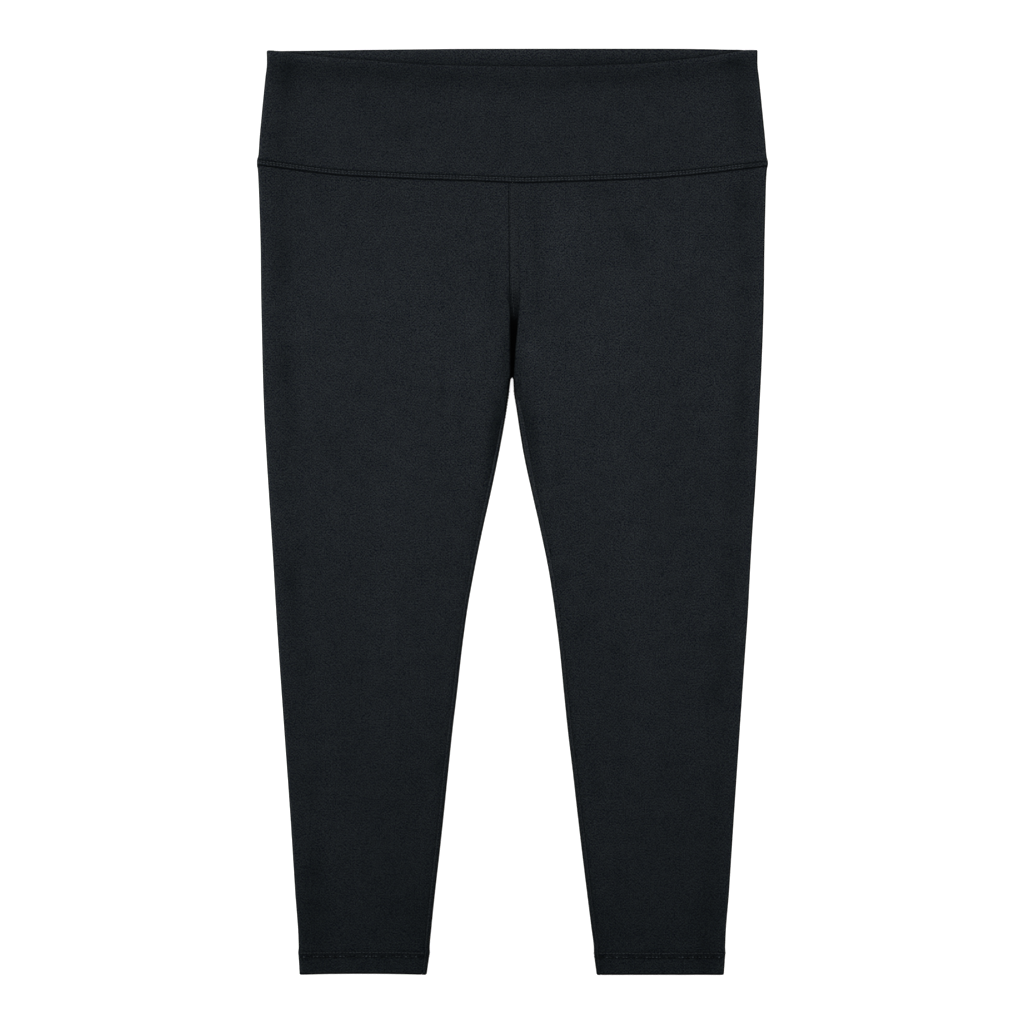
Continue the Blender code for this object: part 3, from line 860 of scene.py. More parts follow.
def band_light_and_shade(below_edge, depth, x, above_front, facing):
    """Painted light and shade on the band: dark lines along its folded edges and at its seam
    and stitch rows, highlights below the front's edge, and a painted shadow on the back above
    the front's edge.
    """
    from_seam = depth - below_edge
    shown = 1 - np.clip(TOP_EDGE.at("front", x) / 9.0, 0, 1)
    right_end = bell(x - 224.0, 11.0)
    if facing < 0:
        # painted dark line along the back's folded top edge
        edge_shade = 1 - (0.86 + 0.10 * right_end) * (1 - ramp(below_edge, 0.45, 1.25))
        # painted shadow of the front's edge on the back band, a little darker towards +x
        contact_shadow = 1 - (0.40 + 0.35 * shown) * bell(above_front - 0.2, 1.5 - 0.5 * shown)
        contact_shadow = contact_shadow * (1 - 0.09 * ramp(x, 20.0, 70.0))
        # the back is painted lighter near its top edge
        return edge_shade * contact_shadow * (1.30 - 0.42 * ramp(below_edge, 0.5, 13.0))
    corner = np.clip((0.3 - TOP_EDGE.at("front", x)) / 1.0, 0, 1)
    left_end = x < 0
    line_start = (0.2 + 0.4 * left_end) * corner
    line_end = 0.6 + (0.3 + 0.6 * left_end) * corner
    lined = 1 - ramp(below_edge, line_start, line_end)
    # painted dark line along the front's folded top edge, stronger at the corners
    edge_shade = 1 - (0.40 + (0.30 + 0.22 * left_end) * corner) * lined
    # painted highlights just below the front's folded edge, and painted shade lower down
    edge = (0.12 + 0.16 * shown) * bell(below_edge - 1.0, 1.8 + 5.0 * shown)
    edge = edge + (0.06 + 0.20 * shown + 0.45 * right_end) * bell(below_edge - 1.3, 0.9)
    edge = edge - 0.16 * bell(below_edge - 15.0, 12.0)
    # painted shade in the trough below the edge
    trough = -0.22 * TOP_EDGE.at("trough", x) * bell(below_edge - 10.0, 7.0)
    first, second = WAIST_ROWS
    # painted shade in the seam's ditch and along the stitch rows
    return with_painted_lines(
        edge_shade * (1 + edge + trough), from_seam, (0.0, 0.65, -0.92), (first, 0.7, -0.26),
        ((first + second) / 2, 0.45, -0.05), (second, 0.6, -0.22), (WAIST_GROOVE, 0.9, -0.54),
        (7.6, 1.6, -0.05),
    )


def rounded_edge(distance, wall):
    """Half thickness of a wall at this distance from a folded edge."""
    reach = np.clip(distance / (wall / 2), 0, 1)
    return np.maximum(wall / 2 * np.sqrt(1 - (1 - reach) ** 2), FOLDED_EDGE / 2)


def waist_bow(x, amount):
    """How far the waist seam lies below its ends."""
    return amount * np.clip(1 - (x / WIDEST) ** 2, 0, 1)


def front_waist_line(x):
    return waist_bow(x, FRONT_SEAM_SAG) - WAIST_LINE.at("lift", x)


def hem_lift(side, width):
    """How far a hem is drawn up, and that of the right leg arches in its middle."""
    return HEM_LIFT[side] + HEM_ARCH[side] * np.clip(1 - (2 * width - 1) ** 2, 0, 1)


# ---- shells ----
def between(keys, place):
    """Which two keys a place lies between, and what share of the way."""
    k = int(np.clip(np.searchsorted(keys, place) - 1, 0, len(keys) - 2))
    return k, (place - keys[k]) / (keys[k + 1] - keys[k])


class Shell:
    """Outer and inner grids of points of one piece of cloth, a row for each level."""

    def __init__(self, levels):
        """From the row, columns, outer and inner points and painted light and tone of each
        level.
        """
        self.rows, self.columns, self.outer, self.inner, self.painted_light_and_tone = map(np.array, zip(*levels))
        # The cloth unrolls from a column near the middle of its front.
        start, following = self.outer[:, UNROLL_FROM, :1], self.outer[:, UNROLL_FROM + 1, :1]
        beside = self.columns - self.columns[:, UNROLL_FROM, None]
        self.unrolled = start + np.sign(following - start) * beside
        normals = np.cross(np.gradient(self.outer, axis=1), np.gradient(self.outer, axis=0))
        normals /= np.linalg.norm(normals, axis=2, keepdims=True)
        facing = np.einsum("ijk,ijk->", normals, self.outer - self.inner)
        self.normals = normals if facing > 0 else -normals

    def ends(self, row):
        """Distances along the cloth at which it ends, at rows."""
        return np.interp(row, self.rows, self.columns[:, -1])

    def read(self, row, distance):
        """Points, normals and painted light and tone of the outer face at rows and distances
        along the cloth.
        """
        row, distance = np.broadcast_arrays(np.asarray(row, float), distance)
        found = np.empty(row.shape + (7,))
        values = np.concatenate([self.outer, self.normals, self.painted_light_and_tone[..., None]], axis=2)
        for place in np.ndindex(row.shape):
            k, t = between(self.rows, row[place])
            ends = []
            for level in (k, k + 1):
                c, s = between(self.columns[level], distance[place])
                ends.append(values[level, c] * (1 - s) + values[level, c + 1] * s)
            found[place] = ends[0] * (1 - t) + ends[1] * t
        return found[..., :3], found[..., 3:6], found[..., 6]


def two_faces(points, outward, relief, wall, from_edge, full, lower, sign=1):
    """Outer and inner face of the cloth at one level, rounded towards a folded edge."""
    half = rounded_edge(from_edge, wall)
    faces = []
    for offset in (relief[:, None] - (wall / 2 - half), -(wall / 2 + half)):
        across, height = (points + offset * outward).T
        place = sign * (across + full)
        faces.append(np.stack([place, LENGTH / 2 - lower, np.maximum(height, 0)], axis=1))
    return faces


def leg_levels(side, sign):
    """The cloth of one leg, level by level from the waist seam to the hem."""
    hem_top = LENGTH - HEM_DEPTH
    for down in LEG_ROWS:
        run = leg_section(side, sign, down)
        columns = leg_columns(run)
        points, outward = read(run, columns)
        across, facing = points[:, 0], outward[:, 0]
        x, from_back = sign * across, columns[-1] - columns
        is_front = np.arange(len(columns)) < len(NEAR_EDGE) + FRONT_COLUMNS + FOLD_COLUMNS // 2
        outer = LEG_OUTER.at(side, down)
        inner = SLOT.at(side, down) if down <= CROTCH else LEG_INNER.at(side, down)
        bow = np.where(is_front, front_waist_line(x), waist_bow(x, BACK_SEAM_LIFT))
        lower = down + bow * ramp(down, WAIST_SEAM + SEAM_BOW_FADES, WAIST_SEAM)
        width = (across - inner) / (outer - inner)
        lower = lower - hem_lift(side, width) * ramp(down, *HEM_DRAWN_UP)
        at_fold = (facing > 0) | (down > CROTCH)
        full = FOLD_FULLNESS * (1 - ramp(down, *FULLNESS_ENDS)) * facing ** 3 * at_fold
        wall = CLOTH + (DOUBLED - CLOTH) * ramp(down, hem_top - HEM_STEP, hem_top)
        relief = leg_relief(side, down, columns, from_back, outward)
        faces = two_faces(points, outward, relief, wall, LENGTH - down, full, lower, sign)

        is_inner = facing < 0
        from_fold = np.where(facing > 0, outer - across, across - inner)
        from_fold = np.where(at_fold, from_fold, FAR_FROM_FOLD)
        # painted highlight just inside each fold, fainter on the inner fold
        light = np.where(is_inner, 0.12 * ramp(down, 600, 520), FOLD_HIGHLIGHT)
        # painted light and shade: random tone, shade in hollows and towards the hems, at seams
        # and folds and in the crotch slot
        painted_light_and_tone = np.where(is_front, tone_and_painted_shade(x, lower, outer, True), tone_and_painted_shade(x, lower, outer, False))
        painted_light_and_tone = painted_light_and_tone * seam_light_and_shade(side, down, columns, from_back, is_front)
        painted_light_and_tone = painted_light_and_tone * fold_light_and_shade(sign * facing * at_fold, from_fold, is_inner, light)
        if down > CROTCH:
            painted_light_and_tone = painted_light_and_tone * inner_fold_painted_shade(side, down, from_fold, is_inner, is_front)
        else:
            painted_light_and_tone = painted_light_and_tone * np.where(is_front, slot_painted_shade(side, down, across), 1)
        yield down, columns, *faces, painted_light_and_tone


def band_section(down, facing):
    """Outer face of the band's front (facing 1) or back (-1), right side to left side."""
    right, left = BAND_OUTLINE.at("right", down), BAND_OUTLINE.at("left", down)
    side_height = BAND_LIE.at("side", down)
    radius = side_height / 2
    gap_angle = np.degrees(SEAM_GAP / 2 / radius)
    if facing > 0:
        across = np.linspace(-right + radius, left - radius, TOP_POINTS)
        from_side = np.minimum(across - across[0], across[-1] - across)
        middle = BAND_LIE.at("middle", down)
        height = middle + (side_height - middle) * bell(from_side, OUTER_RISE_WIDTH)
        height = height + lie(across, down) * (1 - bell(from_side, FOLDS_KEEP_OFF))
        face, turned, end = upper_face(across, height), 90, gap_angle
    else:
        face = straight((-right + radius, 0), (left - radius, 0), (0, -1))
        turned, end = 270, 360 - gap_angle
    return join(
        arc(-right + radius, radius, radius, 180 - facing * gap_angle, turned),
        face,
        arc(left - radius, radius, radius, turned, end),
    )


def band_levels(facing):
    """The cloth of the band's front (facing 1) or back (-1), level by level."""
    depth = BAND_ROWS[-1]
    side_top = BAND_OUTLINE.keys[0]
    for below_edge in BAND_ROWS:
        down = side_top + below_edge
        run = band_section(down, facing)
        total = run[2][-1]
        bend = np.linspace(0, BAND_BEND, BEND_COLUMNS)
        columns = np.concatenate([
            bend,
            np.linspace(1.3 * BAND_BEND, total - 1.3 * BAND_BEND, BAND_COLUMNS),
            total - bend[::-1],
        ])
        points, outward = read(run, columns)
        x = points[:, 0]
        if facing > 0:
            top = side_top + TOP_EDGE.at("front", x)
            seam = front_waist_line(x)
        else:
            top = TOP_EDGE.at("back", x)
            # The back seam is closed, so that no light from the floor comes through it.
            seam = waist_bow(x, BACK_SEAM_LIFT) + SEAM_GAP
        seam = seam + side_top + depth
        lower = top + (seam - top) * below_edge / depth
        level = np.clip(facing * outward[:, 1], 0, 1)
        relief = band_relief(below_edge, depth, x, facing) * level
        full = 0.3 * FOLD_FULLNESS * outward[:, 0] ** 3
        faces = two_faces(points, outward, relief, DOUBLED, below_edge, full, lower)
        half_width = np.where(
            x < 0, BAND_OUTLINE.at("right", down), BAND_OUTLINE.at("left", down)
        )
        # painted light and shade: random tone, shade in hollows and towards the hems, at the
        # edges and seam of the band
        painted_light_and_tone = tone_and_painted_shade(x, lower, half_width, facing > 0)
        above_front = side_top + TOP_EDGE.at("front", x) - lower
        painted_light_and_tone = painted_light_and_tone * band_light_and_shade(below_edge, depth, x, above_front, facing)
        painted_light_and_tone = painted_light_and_tone * fold_light_and_shade(outward[:, 0], half_width - np.abs(x))
        yield below_edge, columns, *faces, painted_light_and_tone


def placed(name, data, location=(0.0, 0.0, 0.0)):
    """A mesh, a light or a camera as an object in the scene."""
    body = bpy.data.objects.new(name, data)
    body.location = location
    bpy.context.scene.collection.objects.link(body)
    return body


def new_body(name, points, faces, painted_light_and_tone, material):
    """A smooth object from points in millimetres, with the painted light and tone at each of
    them.
    """
    mesh = bpy.data.meshes.new(name)
    mesh.from_pydata((points * MM).tolist(), [], faces)
    mesh.attributes.new("painted_light_and_tone", "FLOAT", "POINT").data.foreach_set("value", painted_light_and_tone)
    mesh.materials.append(material)
    mesh.shade_smooth()
    return placed(name, mesh)


def shell_object(name, shell, material):
    """Close the two faces of a shell into one body of cloth."""
    rows, columns = shell.outer.shape[:2]
    count = rows * columns
    index = np.arange(count).reshape(rows, columns)
    skin = np.stack([index[:-1, :-1], index[:-1, 1:], index[1:, 1:], index[1:, :-1]], axis=-1)
    skin = skin.reshape(-1, 4)
    rim = np.concatenate([index[0], index[1:, -1], index[-1, -2::-1], index[-2:0:-1, 0]])
    following = np.roll(rim, -1)
    edge = np.stack([rim + count, following + count, following, rim], axis=-1)
    faces = np.concatenate([skin, skin[:, ::-1] + count, edge])
    points = np.concatenate([shell.outer.reshape(-1, 3), shell.inner.reshape(-1, 3)])
    a, b, c = (points[skin[:, k]] for k in (0, 1, 2))
    outward = (shell.outer - shell.inner)[:-1, :-1].reshape(-1, 3)
    if np.einsum("ij,ij->", np.cross(b - a, c - a), outward) < 0:
        faces = faces[:, ::-1]
    painted_light_and_tone = np.tile(shell.painted_light_and_tone.ravel(), 2)
    body = new_body(name, points, faces.tolist(), painted_light_and_tone, material)
    level = shell.outer[..., 1]
    weave = np.stack([shell.unrolled, level, np.zeros_like(level)], axis=-1).ravel() * MM
    layout = body.data.attributes.new("weave", "FLOAT_VECTOR", "POINT")
    layout.data.foreach_set("vector", np.tile(weave, 2))
    body.data.set_sharp_from_angle(angle=np.radians(SHARP_FROM))
    return body


# ---- sewing thread ----
THREAD_SIDES = 6
STITCH_POINTS = 5
PITCH = 3.3               # from one needle hole to the next
THREAD_LOWEST = -0.15     # thread under the garment stays above the floor


def tubes(centres, normals, radius, tone):
    """Points, faces and painted light and tone of tubes along runs of centres (tube, point,
    xyz).
    """
    along = np.gradient(centres, axis=1)
    along /= np.linalg.norm(along, axis=2, keepdims=True)
    beside = np.cross(along, normals)
    beside /= np.linalg.norm(beside, axis=2, keepdims=True)
    above = np.cross(beside, along)
    angles = np.linspace(0, 2 * np.pi, THREAD_SIDES, endpoint=False)
    ring = (
        np.cos(angles)[:, None] * beside[:, :, None, :]
        + np.sin(angles)[:, None] * above[:, :, None, :]
    )
    points = centres[:, :, None, :] + radius * ring
    index = np.arange(points.size // 3).reshape(points.shape[:3])
    turned = np.roll(index, -1, axis=2)
    sides = np.stack(
        [index[:, :-1], turned[:, :-1], turned[:, 1:], index[:, 1:]], axis=-1
    ).reshape(-1, 4).tolist()
    caps = index[:, 0, ::-1].tolist() + index[:, -1].tolist()
    return points.reshape(-1, 3), sides + caps, np.repeat(tone.ravel(), THREAD_SIDES)


def stitches(
    shell, row, distance, radius, proud=0.10, tone=1.0, seed=0, start=0.1,
    share=(0.74, 0.86), tones=(0.7, 1.3),
):
    """A row of stitches along a run of places on a shell, one end to the other.

    Each takes a share of the pitch. The tone is in parts of the painted light and tone of the
    cloth under it, and tones are the limits of its spread. Each stitch is painted darker
    towards its ends, as shade where it dips into its needle holes. A stitch below zero is left
    out: it has sunk into the pile.
    """
    row, distance = np.broadcast_arrays(np.asarray(row, float), np.asarray(distance, float))
    places, _, _ = shell.read(row, distance)
    gaps = np.linalg.norm(np.diff(places, axis=0), axis=1)
    travelled = np.concatenate([[0], np.cumsum(gaps)])
    count = int(travelled[-1] / PITCH)
    rng = np.random.default_rng(seed)
    starts = np.arange(count) + start + rng.uniform(-0.1, 0.1, count)
    starts = np.clip(starts, 0, None) * (travelled[-1] - PITCH) / count
    lengths = PITCH * rng.uniform(*share, count)
    t = np.linspace(0, 1, STITCH_POINTS)
    at = starts[:, None] + lengths[:, None] * t
    centres, normals, painted_light_and_tone = shell.read(
        np.interp(at, travelled, row), np.interp(at, travelled, distance)
    )
    if np.ndim(tone):
        tone = np.interp(at, travelled, tone)
    bright = rng.uniform(*tones, count)
    # painted shade towards the ends of each stitch
    painted_light_and_tone = painted_light_and_tone * tone * bright[:, None] * (1 - 0.8 * (2 * t - 1) ** 4)
    height = proud - (radius + proud) * (2 * t - 1) ** 4
    sway = rng.uniform(-0.06, 0.06, count)[:, None, None]
    beside = np.cross(np.gradient(centres, axis=1), normals)
    beside /= np.linalg.norm(beside, axis=2, keepdims=True)
    centres = centres + height[None, :, None] * normals + sway * beside
    shown = bright > 0
    return tubes(centres[shown], normals[shown], radius, painted_light_and_tone[shown])


def ladder(shell, rows, distances, radius, proud, tone):
    """Looper thread that crosses to and fro between two rows of stitches."""
    count = int((rows[1] - rows[0]) / (PITCH / 2))
    level = np.linspace(rows[0], rows[1], count)
    low, high = distances
    corner = np.where(np.arange(count) % 2, high, low)
    steps = 4
    t = np.arange((count - 1) * steps) / steps
    row = np.interp(t, np.arange(count), level)
    distance = np.interp(t, np.arange(count), corner)
    centres, normals, painted_light_and_tone = shell.read(row, distance)
    centres = centres + proud * normals
    return tubes(centres[None], normals[None], radius, tone * painted_light_and_tone[None])


def thread_object(name, material, *runs):
    """One object from several rows of stitches."""
    points, faces, tones = [], [], []
    for run_points, run_faces, run_tones in runs:
        start = sum(len(p) for p in points)
        run_points[:, 2] = np.maximum(run_points[:, 2], THREAD_LOWEST)
        points.append(run_points)
        tones.append(run_tones)
        faces += [[corner + start for corner in face] for face in run_faces]
    return new_body(name, np.concatenate(points), faces, np.concatenate(tones), material)


# ---- materials ----
class Nodes:
    """The node tree of a material or a world, filled in one line a node."""

    def __init__(self, owner, shader="Principled BSDF"):
        owner.use_nodes = True
        self.tree = owner.node_tree
        self.shader = self.tree.nodes[shader]

    def fill(self, node, *values, **named):
        """Set sockets of a node or link them, the first ones by place or any by name."""
        sockets = list(zip(node.inputs, values))
        sockets += [(node.inputs[name.replace("_", " ")], named[name]) for name in named]
        for socket, value in sockets:
            if isinstance(value, bpy.types.NodeSocket):
                self.tree.links.new(value, socket)
            else:
                socket.default_value = value

    def surface(self, **named):
        """Set sockets of the shader, or link them."""
        self.fill(self.shader, **named)

    def add(self, kind, *values, operation=None, **named):
        """A new node, as a list of what comes out of it."""
        node = self.tree.nodes.new("ShaderNode" + kind)
        if operation:
            node.operation = operation
        self.fill(node, *values, **named)
        return node.outputs

    def math(self, operation, *values):
        """Arithmetic on sockets and constants."""
        return self.add("Math", *values, operation=operation)[0]

    def vector(self, operation, *values, **named):
        """Vector arithmetic on sockets and constants."""
        return self.add("VectorMath", *values, operation=operation, **named)[0]

    def attribute(self, name, output="Fac"):
        node = self.tree.nodes.new("ShaderNodeAttribute")
        node.attribute_name = name
        return node.outputs[output]

    def noise(self, vector, scale, detail=0.0, dimensions="3D"):
        """Noise around zero, about -0.5 to 0.5."""
        node = self.tree.nodes.new("ShaderNodeTexNoise")
        node.noise_dimensions = dimensions
        self.fill(node, Vector=vector, Scale=scale, Detail=detail)
        return self.math("SUBTRACT", node.outputs["Fac"], 0.5)

    def wave(self, place, period, shift):
        """A sine along one coordinate, -1 to 1, shifted by an angle."""
        return self.math("SINE", self.math("MULTIPLY_ADD", place, 2 * np.pi / period, shift))

    def spread(self, value):
        """The same number in all three places of a vector."""
        return self.add("CombineXYZ", value, value, value)[0]

    def total(self, start, *terms):
        """start, and each (amount, value) added to it."""
        for amount, term in terms:
            start = self.math("MULTIPLY_ADD", term, amount, start)
        return start


def knit(name, colour):
    """Brushed heavy jersey: a near-black, cool, matt pile with a fine uneven grain, its colour
    scaled by the painted light and tone of each point.
    """
    material = bpy.data.materials.new(name)
    nodes = Nodes(material)
    place, painted_light_and_tone = nodes.attribute("weave", "Vector"), nodes.attribute("painted_light_and_tone")
    shifted = nodes.add("Mapping", Vector=place, Location=(3.0, 7.0, 0.0))[0]
    lying = nodes.add("Mapping", Vector=place, Scale=(0.6, 1.1, 1.0))[0]
    across, along, _ = nodes.add("SeparateXYZ", place)
    grain, loops, fibres, strands, drift, hue, blue = (
        nodes.noise(vector, scale, dimensions="2D") for vector, scale in (
            (place, 250.0), (place, 480.0), (place, 800.0), (lying, 780.0),
            (shifted, 45.0), (shifted, 420.0), (shifted, 520.0),
        )
    )
    mottle = nodes.noise(place, 70.0, 1.0, "2D")
    slipped = nodes.math("MULTIPLY", drift, RIB_SLIP)
    stitch = nodes.math("MULTIPLY", nodes.wave(along, RIB, slipped), RIB_AMOUNT)
    for amount, wale, course, slip in STITCH_WAVES:
        over = nodes.wave(across, wale, nodes.math("MULTIPLY", drift, slip))
        down = nodes.wave(along, course, nodes.math("MULTIPLY", mottle, slip))
        stitch = nodes.total(stitch, (amount, nodes.math("MULTIPLY", over, down)))
    even = nodes.total(
        stitch, (0.42, grain), (0.15, loops), (1.0, strands), (2.3, fibres), (0.36, mottle)
    )
    even = nodes.math("MAXIMUM", even, DARKEST)
    tinted = (1.0, 1.0, 1.0)
    for amount, change in ((even, CONTRAST), (hue, HUE_CHANGE), (blue, BLUE_CHANGE)):
        tinted = nodes.vector("MULTIPLY_ADD", nodes.spread(amount), change, tinted)
    tinted = nodes.vector("MULTIPLY", tinted, colour)
    # Painted shade and highlights, with random tone, scale the colour here.
    light_and_tone_rgb = nodes.spread(painted_light_and_tone)
    least = nodes.vector("MULTIPLY", light_and_tone_rgb, SHADE_LEAST)
    toned = nodes.vector("MULTIPLY_ADD", light_and_tone_rgb, SHADE_GAIN, SHADE_OFFSET)
    toned = nodes.vector("MAXIMUM", toned, least)
    tint = nodes.vector("MAXIMUM", nodes.vector("MULTIPLY", tinted, toned), (0.0, 0.0, 0.0))
    height = nodes.total(0.0, (0.5, stitch), (1.0, grain), (0.8, loops))
    nodes.surface(
        Base_Color=tint,
        Normal=nodes.add("Bump", Strength=0.7, Distance=0.0005, Height=height)[0],
        Roughness=nodes.total(0.9, (0.2, loops)), Specular_IOR_Level=0.02,
        Sheen_Weight=0.01, Sheen_Roughness=0.5, Sheen_Tint=(0.7, 0.85, 1.0, 1.0),
    )
    return material


def thread(name, colour):
    """Spun polyester thread: a fine twist, a little brighter than the cloth, its colour scaled
    by the painted light and tone of each point.
    """
    material = bpy.data.materials.new(name)
    nodes = Nodes(material)
    place = nodes.add("TexCoord")["Object"]
    twist = nodes.noise(place, 700.0)
    tone = nodes.noise(place, 240.0, 1.0)
    level = nodes.total(1.0, (0.4, twist), (0.6, tone))
    level = nodes.math("MULTIPLY", level, nodes.attribute("painted_light_and_tone"))
    nodes.surface(
        Base_Color=nodes.vector("SCALE", colour, Scale=level),
        Normal=nodes.add("Bump", Strength=0.4, Distance=0.0001, Height=twist)[0],
        Roughness=nodes.total(0.6, (0.3, tone)), Specular_IOR_Level=0.10,
    )
    return material


def paper(name):
    """Plain pale floor, matt, with the faintest tone, lit a little from below."""
    material = bpy.data.materials.new(name)
    nodes = Nodes(material)
    tone = nodes.noise(nodes.add("TexCoord")["Object"], 3.0, 2.0)
    level = nodes.total(1.0, (0.02, tone))
    nodes.surface(
        Base_Color=nodes.vector("SCALE", (FLOOR_COLOUR,) * 3, Scale=level),
        Roughness=0.9, Specular_IOR_Level=0.2,
        Emission_Color=WHITE, Emission_Strength=FLOOR_GLOW,
    )
    return material


# ---- floor, light and camera ----
# Sizes and places of the floor, lights and camera are in metres.
FLOOR_SIZE = 60.0
FLOOR_LEVEL = -0.0002     # just below the cloth, so that no two faces meet
FLOOR_COLOUR = 0.64
FLOOR_GLOW = 0.45         # as on a light table, so that narrow gaps stay white
FRAME_WIDTH = 1.024       # across the picture, at the height of the cloth
FRAME_CENTRE = (-0.0005, 0.0005)
CLOTH_LEVEL = 0.0025
LENS, SENSOR = 85.0, 36.0  # of the camera, in millimetres
CLIP = (0.05, 100.0)
WHITE = (1.0, 1.0, 1.0, 1.0)
# Lights at the two sides, turned to the middle of the floor: name, place and watts.
LIGHTS = (("window", (-0.95, 0.0, 0.55), 5.4), ("fill", (0.95, 0.0, 0.55), 3.0))
LIGHT_SIZE = (0.50, 1.40)  # along x and along y
OVERHEAD_LEVEL = 2.17     # watts per square metre, from straight above
OVERHEAD_ANGLE = 45.0     # degrees across, so its shadows are soft
# The surroundings are white near the horizon, so the floor has no edge in any view, and
# fade to a softer level above: heights of the direction, and the two levels.
HORIZON_HEIGHTS = (0.20, 0.36)
HORIZON_LEVEL, SKY_LEVEL = 1.0, 0.43


def stage():
    """Floor, lights, world and camera."""
    scene = bpy.context.scene
    half = FLOOR_SIZE / 2
    mesh = bpy.data.meshes.new("floor")
    corners = [(-half, -half, 0), (half, -half, 0), (half, half, 0), (-half, half, 0)]
    mesh.from_pydata(corners, [], [(0, 1, 2, 3)])
    mesh.materials.append(paper("floor_paper"))
    floor = placed("floor", mesh, (0.0, 0.0, FLOOR_LEVEL))
    floor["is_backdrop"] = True
    for name, place, watts in LIGHTS:
        lamp = bpy.data.lights.new(name, "AREA")
        lamp.shape, lamp.size, lamp.size_y, lamp.energy = "RECTANGLE", *LIGHT_SIZE, watts
        light = placed(name, lamp, place)
        light.rotation_euler = (-light.location).to_track_quat("-Z", "Y").to_euler()
        light.visible_camera = False
    overhead = bpy.data.lights.new("overhead", "SUN")
    overhead.energy, overhead.angle = OVERHEAD_LEVEL, np.radians(OVERHEAD_ANGLE)
    placed("overhead", overhead)
    scene.world = bpy.data.worlds.new("pale_studio")
    sky = Nodes(scene.world, "Background")
    height = sky.add("SeparateXYZ", sky.add("TexCoord")["Generated"])["Z"]
    level = sky.add("MapRange", height, *HORIZON_HEIGHTS, HORIZON_LEVEL, SKY_LEVEL)["Result"]
    sky.surface(Color=WHITE, Strength=level)
    lens = bpy.data.cameras.new("camera")
    lens.lens, lens.sensor_width = LENS, SENSOR
    lens.clip_start, lens.clip_end = CLIP
    height = CLOTH_LEVEL + FRAME_WIDTH * LENS / SENSOR
    scene.camera = placed("camera", lens, (*FRAME_CENTRE, height))
    scene.view_settings.view_transform, scene.view_settings.look = "Standard", "None"
    scene.view_settings.exposure, scene.view_settings.gamma = 0.0, 1.0
    return floor


# ---- the garment ----
KNIT_COLOUR = (0.0096, 0.0118, 0.0141)
THREAD_COLOUR = (0.0128, 0.0156, 0.0184)
CONTRAST = (1.06, 1.0, 0.80)       # of the grain in red, green and blue
HUE_CHANGE = (0.24, 0.0, 0.13)     # parts of each colour, for one of the hue noise
BLUE_CHANGE = (0.0, 0.0, 0.39)
# Where the painted light and tone are darker, the colour is a little less red, down to a share
# of its tone.
SHADE_GAIN, SHADE_OFFSET, SHADE_LEAST = (1.11, 1.0, 1.0), (-0.11, 0.0, 0.0), (0.91, 0.91, 0.91)
# Loops of the knit: how strong, metres across and along, and how far they slip out of line.
STITCH_WAVES = (
    (0.13, 0.0040, 0.0040, 9.0),
    (0.32, 0.0027, 0.00295, 9.0),
    (0.26, 0.0044, 0.0033, 12.0),
)
RIB, RIB_AMOUNT, RIB_SLIP = 0.0032, 0.11, 16.0   # faint courses: apart, strength and slip
DARKEST = -0.95                    # limit of the grain, in parts of the cloth's tone

# The two rows over the waist seam, and between them the shadows in their needle holes.
WAIST_STITCHES = (
    dict(radius=0.36, tone=2.9, seed=0, share=(0.45, 0.65)),
    dict(radius=0.36, tone=3.0, seed=1, share=(0.45, 0.65)),
)
WAIST_SHADOWS = dict(radius=0.34, proud=0.08, tone=0.15, seed=20, start=0.3, share=(0.4, 0.6))
# The two rows beside the centre front seam: where they end in the slot, and their tones.
FRONT_STITCHES = ((270.0, (0.9, 1.1, 1.5, 2.6)), (258.0, (0.7, 0.7, 0.8, 1.0)))
FRONT_TONES_DOWN = (118.5, 190.0, 235.0, 262.0)
# The upper row at a hem is even. The lower one is mostly sunk, with light loops between.
HEM_STITCHES = (
    dict(radius=0.36, tone=1.85, seed=7, share=(0.60, 0.85), tones=(0.5, 1.4)),
    dict(radius=0.44, proud=0.14, tone=5.3, seed=8, share=(0.34, 0.46), tones=(-1.1, 1.5)),
)
TOP_OF_SEAMS = 118.5      # down to the first stitch below the waist seam
BACK_SEAM_END = 318.0     # down to the last stitch of the centre back
INSEAM_STITCHED = (340.0, 923.0)


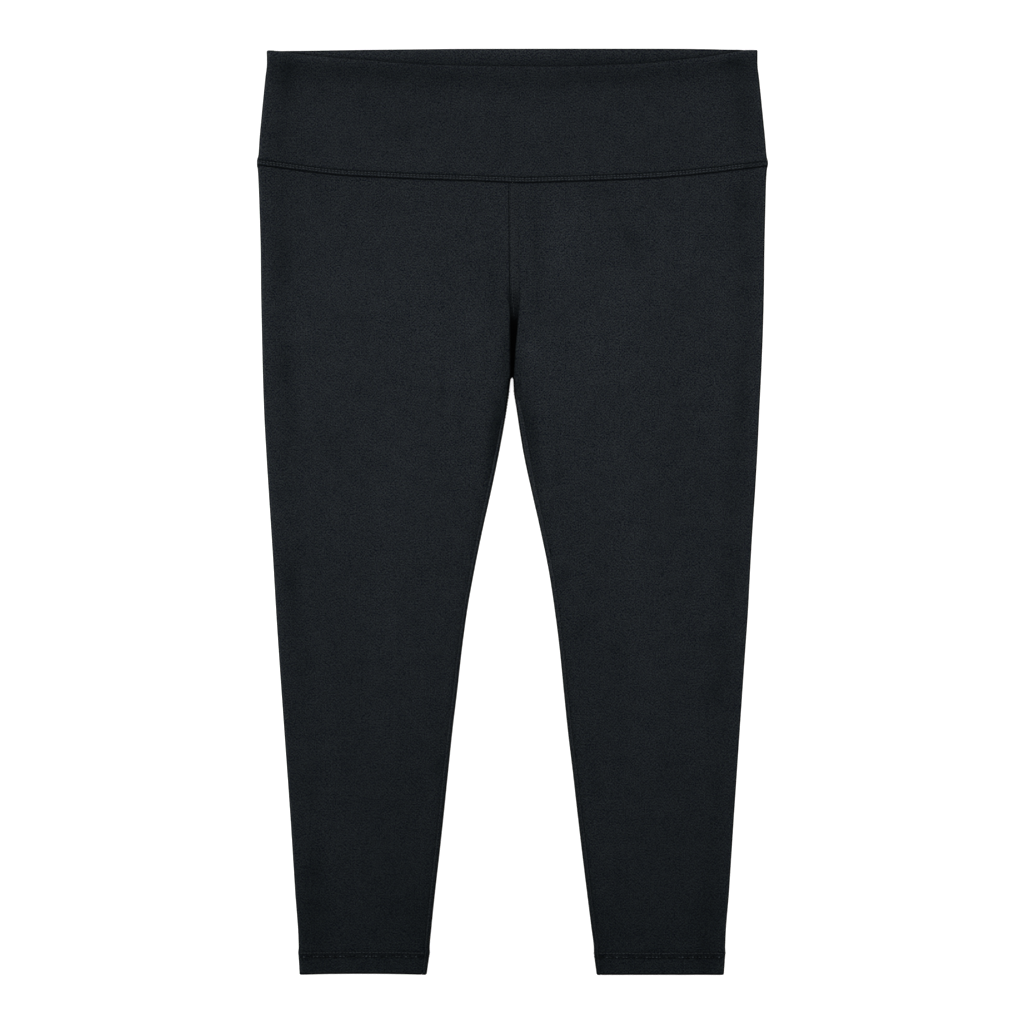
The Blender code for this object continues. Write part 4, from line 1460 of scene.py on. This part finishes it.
def sew(legs, bands, material):
    """Every visible row of stitches, as objects of thread."""
    threads = {}

    def keep(name, rows):
        threads[name] = thread_object("thread_" + name, material, *rows)

    rows = []
    for facing, shell in bands.items():
        depth, total = shell.rows[-1], shell.columns[:, -1].min()
        run = np.linspace(1.5, total - 1.5, 400)
        proud = 0.10 if facing > 0 else 0.02
        for above, settings in zip(WAIST_ROWS, WAIST_STITCHES):
            rows.append(stitches(shell, depth - above, run, proud=proud, **settings))
        if facing > 0:
            rows.append(stitches(shell, depth - sum(WAIST_ROWS) / 2, run, **WAIST_SHADOWS))
    keep("waist_seam", rows)

    rows = []
    for number, (row, (end, tones)) in enumerate(zip(FRONT_ROWS, FRONT_STITCHES)):
        level = np.linspace(TOP_OF_SEAMS, end, 300)
        tone = np.interp(level, FRONT_TONES_DOWN, tones)
        rows.append(stitches(legs["left"], level, row, 0.26, 0.05, tone, seed=3 + number))
    reach = (TOP_OF_SEAMS, FRONT_STITCHES[1][0])
    rows.append(ladder(legs["left"], reach, FRONT_ROWS, 0.2, 0.05, 0.85))
    keep("centre_front", rows)

    level = np.linspace(TOP_OF_SEAMS, BACK_SEAM_END, 300)
    ends = legs["right"].ends(level)
    keep("centre_back", [
        stitches(legs["right"], level, ends - row, 0.24, 0.02, tone=0.8, seed=13 + number)
        for number, row in enumerate(BACK_SEAM_ROWS)
    ])

    for side, shell in legs.items():
        level = np.linspace(*INSEAM_STITCHED, 600)
        ends = shell.ends(level)
        keep("inseam_" + side, [
            stitches(shell, level, ends - row, radius=0.22, tone=0.95, seed=5 + number)
            for number, row in enumerate(INSEAM_ROWS)
        ])
        keep("hem_" + side, [
            stitches(shell, down, np.linspace(0.4, shell.ends(down) - 0.4, 300), **settings)
            for down, settings in zip(HEM_ROWS, HEM_STITCHES)
        ])
    return threads


def main():
    floor = stage()
    leg_knit = knit("leg_knit_brushed", KNIT_COLOUR)
    band_knit = knit("band_knit_brushed", KNIT_COLOUR)
    black_thread = thread("black_thread", THREAD_COLOUR)
    legs = {side: Shell(leg_levels(side, sign)) for side, sign in (("right", -1), ("left", 1))}
    bands = {facing: Shell(band_levels(facing)) for facing in (1, -1)}
    threads = sew(legs, bands, black_thread)
    for piece in threads.values():
        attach(piece, "root")

    for side, shell in legs.items():
        piece = shell_object("cloth_leg_" + side, shell, leg_knit)
        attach(piece, "root")
        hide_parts("leg_" + side)
        threads["centre_front" if side == "left" else "centre_back"]
    for facing, half in ((1, "front"), (-1, "back")):
        piece = shell_object("cloth_band_" + half, bands[facing], band_knit)
        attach(piece, "root")
        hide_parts("waistband_" + half)


main()
visual_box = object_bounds()
boxes = {"cad": cad_box, "visual": visual_box}
{name: [list(corner) for corner in box] for name, box in boxes.items()}
